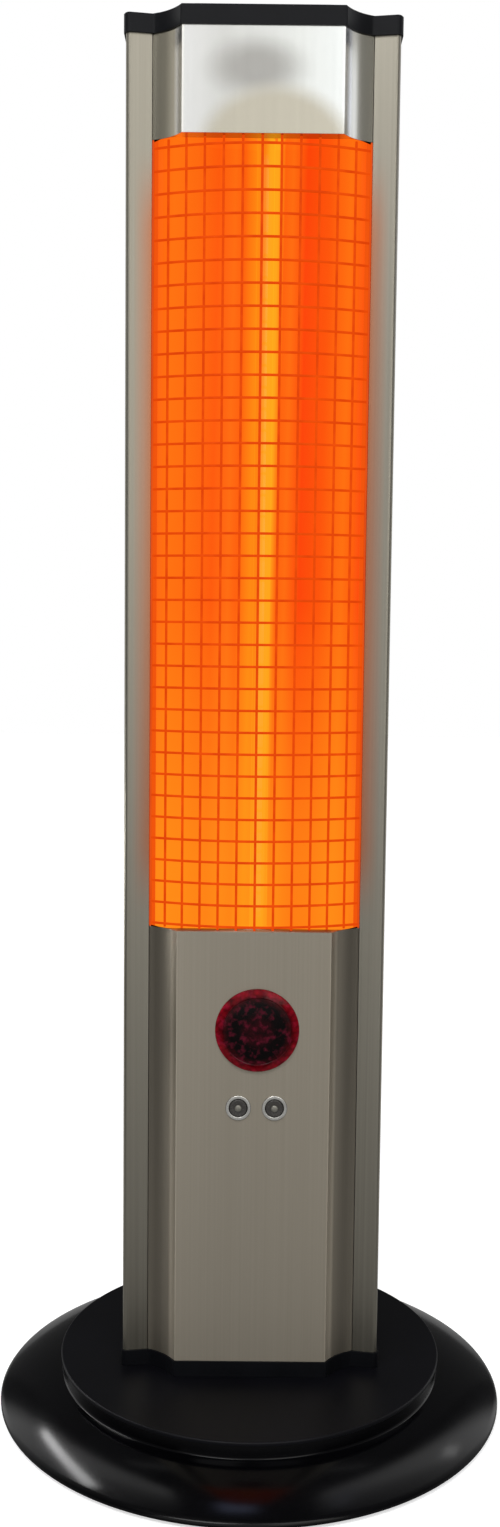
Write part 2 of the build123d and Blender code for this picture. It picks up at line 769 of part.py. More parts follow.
for label, x in zip(("left", "right"), button_xs):
    face_y = front_y - button_proud
    with BuildPart() as button:
        with BuildSketch(Plane.XZ.offset(-face_y)):
            with Locations((x, button_z)):
                RegularPolygon(button_d / 2, shown_sides)
        extrude(amount=face_y - collar_y)
        with BuildSketch(Plane.XZ.offset(-collar_y)):
            with Locations((x, button_z)):
                RegularPolygon(button_d / 2 + button_collar_step, light_sides)
        extrude(amount=-button_collar_t)
        with BuildSketch(Plane.XZ.offset(-stem_y)):
            with Locations((x, button_z)):
                RegularPolygon(button_stem_d / 2, light_sides)
        extrude(amount=-button_stem_l)
    button.part.label = f"{label}_button"
    export_step(button.part, f"parts/{label}_button.step")

    with BuildPart() as button_dot:
        with BuildSketch(Plane.XZ.offset(-face_y)):
            with Locations((x, button_z)):
                RegularPolygon(dot_d / 2, light_sides)
        extrude(amount=dot_t)
    button_dot.part.label = f"{label}_button_dot"
    export_step(button_dot.part, f"parts/{label}_button_dot.step")

with BuildPart() as tact_switches:
    with BuildSketch(Plane.XZ.offset(-switch_board_y)):
        with Locations(*[(x, button_z) for x in button_xs]):
            Rectangle(switch_body, switch_body)
    extrude(amount=switch_body_t)
    with BuildSketch(Plane.XZ.offset(-switch_y)):
        with Locations(*[(x, button_z) for x in button_xs]):
            RegularPolygon(plunger_d / 2, light_sides)
    extrude(amount=plunger_l)
tact_switches.part.label = "tact_switches"
export_step(tact_switches.part, "parts/tact_switches.step")

with BuildPart() as switch_board:
    with BuildSketch(Plane.XZ.offset(-switch_board_y)):
        with Locations((axis_x, button_z)):
            Rectangle(switch_board_w, switch_board_h)
    extrude(amount=-board_t)
switch_board.part.label = "switch_board"
export_step(switch_board.part, "parts/switch_board.step")

# ---------------------------------------------------------------- chassis plate and power board
chassis_low = button_z - chassis_under
chassis_high = lens_z + chassis_over
chassis_w = 2 * (shelf_x + chassis_overlap)
power_board_z = (chassis_low + chassis_high) / 2
with BuildPart() as chassis_plate:
    with BuildSketch(Plane.XY.offset(chassis_low)):
        with Locations((0, chassis_y)):
            Rectangle(chassis_w, chassis_t, align=(Align.CENTER, Align.MIN))
    extrude(amount=chassis_high - chassis_low)
    for z, align in ((chassis_low, Align.MIN), (chassis_high, Align.MAX)):
        with BuildSketch(Plane.XZ.offset(-(chassis_y + chassis_t))):
            with Locations((0, z)):
                Rectangle(chassis_w - 2 * chassis_fold_inset, chassis_t, align=(Align.CENTER, align))
        extrude(amount=-chassis_fold)
chassis_plate.part.label = "chassis_plate"
export_step(chassis_plate.part, "parts/chassis_plate.step")

with BuildPart() as board_spacers:
    for board_back, x, z, gap_x, gap_z in (
        (switch_board_y + board_t, axis_x, button_z, switch_board_w - spacer_inset, 0),
        (receiver_board_y + board_t, axis_x, lens_z, receiver_board_w - spacer_inset, 0),
    ):
        with BuildSketch(Plane.XZ.offset(-chassis_y)):
            with Locations((x - gap_x / 2, z), (x + gap_x / 2, z)):
                RegularPolygon(spacer_af / 2, 6, major_radius=False)
        extrude(amount=chassis_y - board_back)
    with BuildSketch(Plane.XZ.offset(-(chassis_y + chassis_t))):
        with Locations((0, power_board_z)):
            with GridLocations(power_board_w - spacer_inset, power_board_h - spacer_inset, 2, 2):
                RegularPolygon(spacer_af / 2, 6, major_radius=False)
    extrude(amount=-power_spacer_l)
board_spacers.part.label = "board_spacers"
export_step(board_spacers.part, "parts/board_spacers.step")

power_y = chassis_y + chassis_t + power_spacer_l
with BuildPart() as power_board:
    with BuildSketch(Plane.XZ.offset(-power_y)):
        with Locations((0, power_board_z)):
            Rectangle(power_board_w, power_board_h)
    extrude(amount=-board_t)
    # two relays and a transformer
    with BuildSketch(Plane.XZ.offset(-(power_y + board_t))):
        with Locations((-power_board_w / 4, power_board_z + relay_h), (power_board_w / 4, power_board_z + relay_h)):
            Rectangle(relay_w, relay_h)
        with Locations((0, power_board_z - relay_h)):
            Rectangle(relay_w * 1.4, relay_h * 1.6)
    extrude(amount=-relay_t)
power_board.part.label = "power_board"
export_step(power_board.part, "parts/power_board.step")

with BuildPart() as terminal_block:
    with BuildSketch(Plane.XY.offset(bracket_top)):
        with Locations((terminal_x, terminal_y)):
            Rectangle(terminal_w, terminal_d)
    extrude(amount=terminal_h)
    with BuildSketch(Plane.XY.offset(bracket_top + terminal_h)):
        with Locations((terminal_x, terminal_y)):
            with GridLocations(terminal_w / terminal_ways, 0, terminal_ways, 1):
                Rectangle(terminal_w / terminal_ways - 2, terminal_d / 2)
    extrude(amount=-terminal_h / 3, mode=Mode.SUBTRACT)
terminal_block.part.label = "terminal_block"
export_step(terminal_block.part, "parts/terminal_block.step")

# ---------------------------------------------------------------- tip-over switch with its hanging weight
pivot_z = bracket_top + tip_h - tip_pivot_drop
inner_d = tip_d - 2 * tip_wall
with BuildPart() as tip_switch_frame:
    with Locations((tip_x, tip_y, bracket_top)):
        Box(tip_w, tip_d, tip_h, align=(Align.CENTER, Align.CENTER, Align.MIN))
    with Locations((tip_x, tip_y, bracket_top + tip_wall)):
        Box(tip_w, inner_d, tip_h - 2 * tip_wall, align=(Align.CENTER, Align.CENTER, Align.MIN),
            mode=Mode.SUBTRACT)
    with BuildSketch(Plane.XZ.offset(-(tip_y - tip_d / 2))):
        with Locations((tip_x, pivot_z)):
            RegularPolygon(tip_pin_d / 2 + nut_play, light_sides, major_radius=False)
    extrude(amount=-tip_d, mode=Mode.SUBTRACT)
tip_switch_frame.part.label = "tip_switch_frame"
export_step(tip_switch_frame.part, "parts/tip_switch_frame.step")

with BuildPart() as tip_switch_pin:
    with BuildSketch(Plane.XZ.offset(-(tip_y - tip_d / 2))):
        with Locations((tip_x, pivot_z)):
            RegularPolygon(tip_pin_d / 2, light_sides)
    extrude(amount=-tip_d)
tip_switch_pin.part.label = "tip_switch_pin"
export_step(tip_switch_pin.part, "parts/tip_switch_pin.step")

with BuildPart() as tip_pendulum:
    with BuildSketch(Plane.XZ.offset(-(tip_y - tip_bob_t / 2))):
        with Locations((tip_x, pivot_z)):
            RegularPolygon(tip_hub_d / 2, light_sides)
        with Locations((tip_x, pivot_z)):
            Rectangle(tip_arm_w, tip_arm_l, align=(Align.CENTER, Align.MAX))
        with Locations((tip_x, pivot_z - tip_arm_l)):
            RegularPolygon(tip_bob_d / 2, light_sides)
        with Locations((tip_x, pivot_z)):
            RegularPolygon(tip_pin_d / 2 + tip_gap, light_sides, major_radius=False, mode=Mode.SUBTRACT)
    extrude(amount=-tip_bob_t)
tip_pendulum.part.label = "tip_pendulum"
export_step(tip_pendulum.part, "parts/tip_pendulum.step")

# ---------------------------------------------------------------- cable gland at the back
cap_end = back_y + gland_hex_t + gland_dome_l
with BuildPart() as gland_body:
    with BuildSketch(Plane.XZ.offset(-back_y)):
        with Locations((0, gland_z)):
            RegularPolygon(gland_af / 2, 6, major_radius=False)
    extrude(amount=-gland_hex_t)
    with BuildSketch(Plane.XZ.offset(-(back_y - gland_thread_l))):
        with Locations((0, gland_z)):
            RegularPolygon(gland_thread_d / 2, light_sides)
    extrude(amount=-gland_thread_l)
    with BuildSketch(Plane.XZ.offset(-(back_y - gland_thread_l))):
        with Locations((0, gland_z)):
            Circle(gland_bore / 2)
    extrude(amount=-(gland_thread_l + gland_hex_t), mode=Mode.SUBTRACT)
gland_body.part.label = "gland_body"
export_step(gland_body.part, "parts/gland_body.step")

with BuildPart() as gland_cap:
    with BuildSketch(Plane.XZ.offset(-(back_y + gland_hex_t))):
        with Locations((0, gland_z)):
            RegularPolygon(gland_dome_d / 2, 6, major_radius=False)
    extrude(amount=-gland_dome_l)
    chamfer(gland_cap.faces().sort_by(Axis.Y)[-1].edges(), gland_edge)
    with BuildSketch(Plane.XZ.offset(-(back_y + gland_hex_t))):
        with Locations((0, gland_z)):
            Circle(gland_bore / 2)
    extrude(amount=-gland_dome_l, mode=Mode.SUBTRACT)
gland_cap.part.label = "gland_cap"
export_step(gland_cap.part, "parts/gland_cap.step")

with BuildPart() as gland_nut:
    with BuildSketch(Plane.XZ.offset(-(back_y - cover_t))):
        with Locations((0, gland_z)):
            RegularPolygon(gland_af / 2, 6, major_radius=False)
            RegularPolygon(gland_thread_d / 2 + nut_play, light_sides, major_radius=False, mode=Mode.SUBTRACT)
    extrude(amount=gland_nut_t)
gland_nut.part.label = "gland_nut"
export_step(gland_nut.part, "parts/gland_nut.step")
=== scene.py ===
# %% [markdown]
# # An infrared patio heater tower, dressed for its picture
#
# The heater is a slim tower of two extruded aluminium rails with brushed sheet covers between them. A tall
# window in the front shows a glowing lamp in a folded reflector, behind a welded wire guard. It stands on a
# glossy black saucer. This lesson takes the measured model of the heater and gives every visible surface
# its real finish: edges that catch the light, round wires, a moulded lens, turned buttons and real screws.

# %% Load the measured model
import json
from math import asin, atan2, cos, degrees, pi, radians, sin

import bpy
from mathutils import Matrix, Vector


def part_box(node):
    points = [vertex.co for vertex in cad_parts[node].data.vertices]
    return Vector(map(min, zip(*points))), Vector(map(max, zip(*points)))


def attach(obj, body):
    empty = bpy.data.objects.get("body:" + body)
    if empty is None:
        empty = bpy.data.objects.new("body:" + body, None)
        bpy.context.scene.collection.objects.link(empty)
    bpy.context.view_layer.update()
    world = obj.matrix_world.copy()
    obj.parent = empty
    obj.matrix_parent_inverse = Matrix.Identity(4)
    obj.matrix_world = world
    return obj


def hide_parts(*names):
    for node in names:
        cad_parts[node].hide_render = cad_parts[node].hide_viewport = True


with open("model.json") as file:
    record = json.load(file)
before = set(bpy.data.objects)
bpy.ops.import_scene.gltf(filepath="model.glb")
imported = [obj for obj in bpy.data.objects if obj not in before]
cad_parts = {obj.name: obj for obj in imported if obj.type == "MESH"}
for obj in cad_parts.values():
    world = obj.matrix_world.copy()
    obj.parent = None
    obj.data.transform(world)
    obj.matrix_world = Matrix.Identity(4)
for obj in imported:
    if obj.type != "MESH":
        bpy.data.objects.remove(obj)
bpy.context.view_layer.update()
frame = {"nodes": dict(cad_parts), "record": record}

MM = 0.001
nodes = frame["nodes"]
bpy.context.scene.view_settings.view_transform = "Standard"

# %% [markdown]
# ## The camera comes first
#
# The photograph was taken from straight in front, a little above the middle of the tower, looking slightly
# down. Placed by eye it would be a little off, so the numbers below come from fitting a pinhole camera to
# the outlines of the base, the tower and the window.

# %% Place the camera where the photographer stood
photo_height_px = 1527
focal_px = 1503.2
camera_turn = radians(0.098)  # round the tower, off straight ahead
camera_tilt = radians(5.40)  # downwards
camera_roll = radians(0.592)
camera_back = 1174.7 * MM
camera_height = 621.9 * MM
camera_aside = -4.44 * MM

up = Vector((0, 0, 1))
ahead_flat = Vector((sin(camera_turn), cos(camera_turn), 0))
right_flat = Vector((cos(camera_turn), -sin(camera_turn), 0))
ahead = ahead_flat * cos(camera_tilt) - up * sin(camera_tilt)
up_tilted = up * cos(camera_tilt) + ahead_flat * sin(camera_tilt)
right = right_flat * cos(camera_roll) + up_tilted * sin(camera_roll)
above = up_tilted * cos(camera_roll) - right_flat * sin(camera_roll)
spot = -ahead_flat * camera_back + right_flat * camera_aside + up * camera_height

optics = bpy.data.cameras.new("photo_camera")
optics.sensor_fit = "VERTICAL"
optics.sensor_height = 24
optics.lens = optics.sensor_height * focal_px / photo_height_px
camera = bpy.data.objects.new("photo_camera", optics)
bpy.context.scene.collection.objects.link(camera)
camera.matrix_world = Matrix.Translation(spot) @ Matrix((right, above, -ahead)).transposed().to_4x4()
bpy.context.scene.camera = camera
print("focal length:", round(optics.lens, 2), "mm on a", optics.sensor_height, "mm sensor")

# %% [markdown]
# ## Colours and shader nodes
#
# A colour picked by eye on a screen is an sRGB value, but a shader works with linear light, so one function
# turns a hex value into linear numbers. Another adds a shader node with its values, links and colour stops,
# and two short ones call it for sums and ranges. The Shader Editor would do it by hand, but in code one
# recipe serves many.

# %% Colour and node helpers
def linear(hex_colour):
    """An sRGB hex colour as linear red, green, blue and alpha."""
    channels = [int(hex_colour[i:i + 2], 16) / 255 for i in (1, 3, 5)]
    return [c / 12.92 if c <= 0.04045 else ((c + 0.055) / 1.055) ** 2.4 for c in channels] + [1.0]


def connect(tree, node, links):
    """Links a node's inputs from sockets, or from other nodes, which means their first output."""
    for name, source in links.items():
        tree.links.new(getattr(source, "outputs", [source])[0], node.inputs[name])


def add_node(tree, kind, values={}, links={}, stops=(), **settings):
    """Adds a shader node with its settings, input values, links and, where it has a ramp, colour stops."""
    node = tree.nodes.new("ShaderNode" + kind)
    for name, value in settings.items():
        setattr(node, name, value)
    for name, value in values.items():
        node.inputs[name].default_value = value
    connect(tree, node, links)
    for i, (position, hex_colour) in enumerate(stops):
        stop = node.color_ramp.elements[i] if i < 2 else node.color_ramp.elements.new(position)
        stop.position = position
        stop.color = linear(hex_colour)
    return node


def maths(tree, operation, *terms):
    """A Math node, whose terms are numbers, sockets or nodes."""
    numbers = {i: term for i, term in enumerate(terms) if isinstance(term, (int, float))}
    links = {i: term for i, term in enumerate(terms) if i not in numbers}
    return add_node(tree, "Math", numbers, links, operation=operation)


def remap(tree, value, start, end, low=0.0, high=1.0, ease="LINEAR"):
    """Goes from low to high while the value goes from start to end."""
    return add_node(tree, "MapRange", {"From Min": start, "From Max": end, "To Min": low, "To Max": high},
                    {"Value": value}, interpolation_type=ease)


print("mid grey, linear:", [round(c, 3) for c in linear("#808080")])

# %% [markdown]
# ## One recipe for most finishes
#
# Nearly every real surface has two patterns on it. One is slow: soft clouds where the coat is thicker, the
# metal rolled unevenly or a hand has wiped it. The other is fine: the grain, peel or brush mark that can be
# felt. The recipe lays both into the colour and the roughness, and the fine one into the height. Photographs
# of surfaces would need unwrapping, so both are noise, stretched to a real size in millimetres along X, Y, Z.

# %% The recipe
def new_finish(name, **values):
    """A material, its node tree and its shader, with the given values on the shader's own sockets."""
    finish = bpy.data.materials.new(name)
    finish.use_nodes = True
    shader = finish.node_tree.nodes["Principled BSDF"]
    for socket, value in values.items():
        shader.inputs[socket.replace("_", " ")].default_value = value
    print("finish:", name)
    return finish, finish.node_tree, shader


def object_xyz(tree):
    """How far along the object's X, Y and Z each point of the surface is."""
    place = add_node(tree, "TexCoord").outputs["Object"]
    return add_node(tree, "SeparateXYZ", links={"Vector": place}).outputs


def blotches(tree, size_mm, detail=2.0):
    """A pattern of soft blotches: size_mm is one size, or three along X, Y and Z."""
    sides = size_mm if isinstance(size_mm, tuple) else (size_mm, size_mm, size_mm)
    place = add_node(tree, "TexCoord").outputs["Object"]
    spread = add_node(tree, "Mapping", {"Scale": [1 / (side * MM) for side in sides]}, {"Vector": place})
    return add_node(tree, "TexNoise", {"Scale": 1.0, "Detail": detail}, {"Vector": spread}).outputs["Fac"]


def relief(tree, shader, patches, grain, roughness, depth_mm):
    """Roughness that follows the patches, and bumps that follow the grain."""
    gloss = remap(tree, patches, 0.3, 0.7, *roughness)
    bump = add_node(tree, "Bump", {"Distance": depth_mm * MM}, {"Height": grain})
    connect(tree, shader, {"Roughness": gloss, "Normal": bump})


def surface(name, dark, light, grain_mm, depth_mm, roughness, clouds_mm, share=0.5, detail=2.0, **values):
    """A finish between two colours: share is how much of the change the fine grain makes."""
    finish, tree, shader = new_finish(name, **values)
    grain = blotches(tree, grain_mm, detail)
    both = add_node(tree, "Mix", {"Factor": share},
                    {"A": blotches(tree, clouds_mm), "B": grain}).outputs["Result"]
    colour = add_node(tree, "ValToRGB", links={"Fac": both}, stops=((0.35, dark), (0.65, light)))
    connect(tree, shader, {"Base Color": colour})
    relief(tree, shader, both, grain, roughness, depth_mm)
    return finish


print("the recipe is ready")

# %% [markdown]
# ## Metals
#
# The rails are aluminium, pressed through a die and anodised. Drawing through the die leaves fine straight
# lines along their whole length. The covers are stainless sheet with a hairline finish. Real hairlines are
# about 0.1 mm wide, too fine to show here, so both are drawn about 1.5 mm wide and very long. All metals
# keep the default IOR, and their colour is what they mirror back.

# %% Rails and covers
# Extruded, matt anodised aluminium: a dull warm silver with faint straight lines along the rails.
anodised_rail = surface("anodised_aluminium_rail", "#817d72", "#8d897e", (1.6, 1.6, 420), 0.003,
                        (0.36, 0.44), (14, 30, 900), 0.45, 3.0, Metallic=1.0)
# Hairline stainless sheet: warm grey. The brushing draws every reflection out into a long upright streak.
hairline_cover = surface("hairline_stainless_cover", "#918a7d", "#968f82", (1.2, 1.2, 300), 0.0015,
                         (0.44, 0.48), (60, 60, 500), 0.7, 3.0, Metallic=1.0, Anisotropic=0.9,
                         Anisotropic_Rotation=0.25)

# %% Plated, turned and sawn metals
# Zinc-plated steel: cold grey with the cloudy flowers of the plating bath.
zinc_plate = surface("zinc_plated_steel", "#8b8f95", "#b0b3b8", 4, 0.004, (0.32, 0.48), 16,
                     0.4, Metallic=1.0)
# Bright steel of the screws: turned and tumbled, so nearly even.
bright_steel = surface("tumbled_steel_screw", "#9b9ca0", "#bcbdc0", 0.8, 0.003, (0.24, 0.34),
                       3, Metallic=1.0)
# Chromed plastic trim: bright silver, mirror-like with a slight haze.
chromed_trim = surface("chromed_trim", "#bfbdb8", "#cecdc8", 1, 0.001, (0.16, 0.24), 6, Metallic=1.0)
# Satin-plated light dot of the buttons: the same metal, dulled to a mid grey.
satin_dot = surface("satin_plated_dot", "#85837b", "#939189", 1, 0.001, (0.34, 0.42), 4, Metallic=1.0)
# Sawn iron slab: dark, rough and dull with mill scale.
iron_slab = surface("sawn_iron_slab", "#2b2a2a", "#4a4642", 2.2, 0.05, (0.55, 0.75), 25, Metallic=0.6)

# %% [markdown]
# Each cover gets a painted highlight along its two folds, where the flat front meets the hollows. A mask
# could be painted as an image, but the folds are straight, so the finish simply measures how far away the
# nearer one is.

# %% Painted highlights along the lower cover's folds
fold_x = 60.8  # middle of the bright line, this far to each side
fold_full = 1.2  # from its middle, the line is at its brightest up to here
fold_faded = 3.6  # and gone from here

tree = hairline_cover.node_tree
shader = tree.nodes["Principled BSDF"]
aside = maths(tree, "ABSOLUTE", object_xyz(tree)["X"])
from_fold = maths(tree, "ABSOLUTE", maths(tree, "SUBTRACT", aside, fold_x * MM))
# Painted highlight along each fold, lightening the brushed colour.
fold_highlight_mask = remap(tree, from_fold, fold_faded * MM, fold_full * MM, ease="SMOOTHSTEP")
brushed = shader.inputs["Base Color"].links[0].from_socket
bright = add_node(tree, "MixRGB", {"Color2": linear("#bdb4a4")}, {"Fac": fold_highlight_mask, "Color1": brushed})
connect(tree, shader, {"Base Color": bright})
print("bright lines", fold_x, "mm to each side on", hairline_cover.name)

# %% [markdown]
# ## Paints, plastics and rubber
#
# Three blacks meet at the foot: the saucer is glossy enamel that mirrors the room, the plate on it is a
# satin powder coat with a fine orange peel, and the end caps are moulded plastic with an eroded grain. Their
# colours are nearly the same, so their roughness and the size of their grain have to tell them apart.

# %% Coats and plastics
# Stoved black enamel: deep black and mirror-smooth, with the faintest waviness.
gloss_enamel = surface("gloss_black_enamel", "#020203", "#040406", 4, 0.003, (0.13, 0.18),
                       70, 0.3, Specular_IOR_Level=0.16)
# Satin powder coat: blue-black, soft highlights broken up by orange peel of about 1.5 mm.
satin_coat = surface("satin_black_powder_coat", "#050508", "#09090e", 1.5, 0.008, (0.38, 0.46),
                     50, 0.4, Specular_IOR_Level=0.12)
# Moulded plastic with an eroded grain: matt near-black. The grain is drawn at 1.2 mm to show.
moulded_black = surface("moulded_black_plastic", "#07080b", "#0c0d11", 1.2, 0.010, (0.40, 0.50),
                        30, Specular_IOR_Level=0.12)
# Powder-coated steel of the back: mid grey, fine peel.
grey_coat = surface("grey_powder_coat", "#6c6d71", "#7b7c80", 1.5, 0.010, (0.42, 0.52), 60, 0.4)
# Nylon of the cable gland and switches: dull black, slightly milky where it is thick.
black_nylon = surface("black_nylon", "#121213", "#1c1c1d", 0.9, 0.008, (0.45, 0.55), 12)
# Moulded rubber feet: dead matt and a little dusty.
black_rubber = surface("moulded_rubber", "#0f0f0f", "#1d1c1b", 1.1, 0.02, (0.75, 0.88), 9)
# Natural nylon of the terminal block: warm white, soft gloss.
white_nylon = surface("natural_nylon", "#cbc7ba", "#dedbd0", 1.4, 0.006, (0.42, 0.52), 14)
# Solder-masked circuit board: green lacquer over woven glass.
circuit_board = surface("solder_masked_board", "#153b22", "#255c3c", 0.8, 0.006, (0.28, 0.42), 7)
# Glossy moulded plastic of the push buttons: dark brown-grey.
button_plastic = surface("glossy_button_plastic", "#2c2a28", "#373431", 1.2, 0.003, (0.22, 0.30), 8)

# %% [markdown]
# ## The bright upper cover
#
# The upper cover is the same sheet with a brighter, more polished face. Its colour across the width is
# painted
# reflection: lighter and darker bands, warmer hollows and painted highlights along the folds. Over its lower
# middle is a beige dome, and above it a painted grey shade. An image of the marks would need unwrapping, so
# each is an ellipse: the distance from its centre, measured in its own half width and height, fades them out.

# %% Polished sheet with painted reflections and shade
valley_x = 80.5  # half the front's width, to the bottom of the hollows on both sides
front_y = -57.0  # the tower's flat front

polished_cover, tree, shader = new_finish("polished_stainless_cover", Metallic=1.0)
place = add_node(tree, "TexCoord").outputs["Object"]
across = remap(tree, object_xyz(tree)["X"], -valley_x * MM, valley_x * MM)
# Painted reflection across the width: lighter and darker bands, warmer hollows, painted highlights on the
# folds.
painted_light_and_tint = add_node(tree, "ValToRGB", links={"Fac": across}, stops=(
    (0.0, "#e0d9c3"), (1.0, "#d8d3c2"), (0.07, "#c8c1ad"), (0.10, "#c3bca9"), (0.115, "#fbf8f0"),
    (0.135, "#fbf8f0"), (0.15, "#dadad8"), (0.32, "#cfcfcb"), (0.64, "#dfe1dd"), (0.85, "#e9ecea"),
    (0.865, "#fdfdfb"), (0.885, "#fdfdfb"), (0.90, "#d2d0c4")))
# A painted grey shade high in the middle, then a beige dome over the lower middle.
for middle_x, middle_z, half_w, half_h, full_to, strength, hex_colour in (
        (-5, 1017, 46, 28, 0.25, 0.84, "#9e9c97"), (9, 955, 64, 57, 0.7, 0.95, "#bdb7a6")):
    ellipse = add_node(tree, "Mapping", {
        "Location": (middle_x * MM, front_y * MM, middle_z * MM), "Scale": (half_w * MM, 1.0, half_h * MM)},
        {"Vector": place}, vector_type="TEXTURE")
    away = add_node(tree, "VectorMath", links={0: ellipse}, operation="LENGTH").outputs["Value"]
    fade = remap(tree, away, 1.0, full_to, 0.0, strength, "SMOOTHSTEP")
    painted_light_and_tint = add_node(tree, "MixRGB", {"Color2": linear(hex_colour)}, {"Fac": fade, "Color1": painted_light_and_tint})
hairlines = blotches(tree, (1.2, 1.2, 200), 4.0)
connect(tree, shader, {"Base Color": painted_light_and_tint})
relief(tree, shader, hairlines, hairlines, (0.20, 0.25), 0.0012)

# %% [markdown]
# ## The glowing heater
#
# In the photograph the heater is on. The lamp is a quartz tube with a bright coil inside, and the folded
# reflector behind it mirrors the glow: one bright yellow line, orange shoulders beside it, and redder where
# the folds turn away. Light that bounces about in polished metal would need thousands of samples to come out
# clean, so the reflector and the tube give off that glow themselves, in one pattern that runs across both.
# The bright line leans a little, and the lower third is yellower.

# %% The pattern of the glow
axis_x = 3.0  # lamp, lens and buttons stand this far right of the tower's middle
window_z = 388.5  # the window's lower edge
window_h = 582.8
streak_foot = 2.65  # the bright line's place across, at the window's lower edge
streak_lean = 0.0116  # and how far right it moves for each unit of height
yellow_z = 430.0  # the glow is at its yellowest up to here
plain_z = 640.0  # and has its plain colours from here up
glow_half = 90.0  # the pattern reaches this far to each side of the bright line
glow_stops = (  # distance right of the bright line in mm, and colour
    (-86, "#fa620e"), (72, "#f8480a"), (-74, "#fc7212"), (-58, "#fb6a10"), (-42, "#fa5a0c"),
    (-29, "#fb6c10"), (-22, "#fa5f0c"), (-12, "#fc8911"), (-7, "#fc8111"), (-3.2, "#fda51b"),
    (3.2, "#fda61b"), (8.5, "#fa620d"), (15, "#fb6c10"), (26, "#f94408"), (42, "#fa540b"), (58, "#fb7011"))


def lamp_glow(tree, waver_mm):
    """The glow's colour across the window; waver_mm is how far ripples in the metal push it about."""
    xyz = object_xyz(tree)
    line = maths(tree, "MULTIPLY_ADD", xyz["Z"], streak_lean, (streak_foot - streak_lean * window_z) * MM)
    beside = maths(tree, "SUBTRACT", xyz["X"], line)
    waver = remap(tree, blotches(tree, (12, 300, 500), 3.0), 0, 1, -waver_mm * MM, waver_mm * MM)
    across = remap(tree, maths(tree, "ADD", beside, waver), -glow_half * MM, glow_half * MM)
    stops = [((x / glow_half + 1) / 2, colour) for x, colour in glow_stops]
    colour = add_node(tree, "ValToRGB", links={"Fac": across}, stops=stops)
    low = remap(tree, xyz["Z"], yellow_z * MM, plain_z * MM, 0.5, 0.0)
    return add_node(tree, "MixRGB", {"Color2": linear("#fea01c")}, {"Fac": low, "Color1": colour})


print("the bright line leans", round(streak_lean * window_h, 1), "mm over the window")

# %% Reflector, lamp, ceramic and wire glow
# Rolled reflector sheet, blued by heat: all that is seen of it is the glow it mirrors, painted on as light it
# gives off itself.
reflector_painted_glow, tree, shader = new_finish("reflector_with_painted_glow", Base_Color=linear("#3a1408"), Metallic=1.0,
                                         Roughness=0.5, Emission_Strength=1.0)
connect(tree, shader, {"Emission Color": lamp_glow(tree, 2.0)})
# Fused quartz: glassy, and filled with the coil's light.
hot_quartz, tree, shader = new_finish("fused_quartz_aglow", Base_Color=linear("#2a0d04"), Roughness=0.12,
                                      Specular_IOR_Level=0.2, Emission_Strength=1.0)
connect(tree, shader, {"Emission Color": lamp_glow(tree, 0.0)})


def glowing(name, base, dull, hot, strength, roughness, cell_mm, **values):
    """A surface that glows unevenly between two colours, in cells of cell_mm."""
    finish, tree, shader = new_finish(name, Base_Color=linear(base), Roughness=roughness,
                                      Emission_Strength=strength, **values)
    glow = add_node(tree, "ValToRGB", links={"Fac": blotches(tree, cell_mm)},
                    stops=((0.3, dull), (0.7, hot)))
    connect(tree, shader, {"Emission Color": glow})
    return finish


# Heating wire at working heat: yellow.
hot_coil = glowing("heating_wire_aglow", "#a05010", "#fda81b", "#ffd060", 1.3, 0.5, (5, 5, 30))
# Fired steatite of the lamp's ends: its chalky white is darkened to brown as painted shade, since it sits
# deep in the housing, and the lamp's orange light on it is painted on as glow.
steatite_painted_light = glowing("steatite_painted_light_and_shade", "#6e4526", "#f26a08", "#fc8412", 0.85, 0.65, 6)
# Chromed wire that heat has browned: it hardly mirrors anything but the red glow beside it, and that glow is
# painted on as light it gives off.
guard_wire_painted_glow = glowing("heat_browned_wire_painted_glow", "#351208", "#e04206", "#f05008", 0.95, 0.42, 14, Metallic=1.0)
# The guard's side strips catch the glow flat on; that light is painted on as glow of their own.
side_strip_painted_glow = glowing("heat_browned_strip_painted_glow", "#2a0c05", "#dc4608", "#ee560a", 0.9, 0.6, (10, 10, 60),
                    Specular_IOR_Level=0.1)

# %% [markdown]
# The rails' inner webs stand beside the reflector and catch its light as well. A finish of their own would
# mean cutting the rails' meshes up, so the rail finish glows orange in a box between the webs, as high as the
# window and as deep as the reflector. A little of that light spills over the rail's front edge and fades.

# %% The box between the webs
web_x = valley_x - 0.4  # the box ends just inside the rails' front bands
web_middle_y = -20.0
web_half_depth = 35.0
past_window = 12.0  # the reflector's light reaches this far past the window's ends
window_middle = window_z + window_h / 2

tree = anodised_rail.node_tree
shader = tree.nodes["Principled BSDF"]
xyz = object_xyz(tree)
inside = [maths(tree, "COMPARE", xyz[axis], middle * MM, reach * MM)
          for axis, middle, reach in (("X", 0, web_x), ("Y", web_middle_y, web_half_depth),
                                      ("Z", window_middle, window_h / 2 + past_window))]
web = maths(tree, "MULTIPLY", maths(tree, "MULTIPLY", inside[0], inside[1]), inside[2])
print("the webs glow from x", -web_x, "to", web_x, "mm on", anodised_rail.name)

# %% The light that spills over the rails' front edges
spill_x = 94.0  # it has faded out this far to each side
spill_fade = 70.0  # and fades over this height at the window's ends
spill_brown = 0.75  # how far it browns the silver
spill_shine = 0.05  # how bright it glows itself

near = remap(tree, maths(tree, "ABSOLUTE", xyz["X"]), spill_x * MM, valley_x * MM)
height = maths(tree, "ABSOLUTE", maths(tree, "SUBTRACT", xyz["Z"], window_middle * MM))
fade = remap(tree, height, window_h / 2 * MM, (window_h / 2 - spill_fade) * MM, ease="SMOOTHSTEP")
spill = maths(tree, "MULTIPLY", maths(tree, "MULTIPLY", near, fade), inside[1])

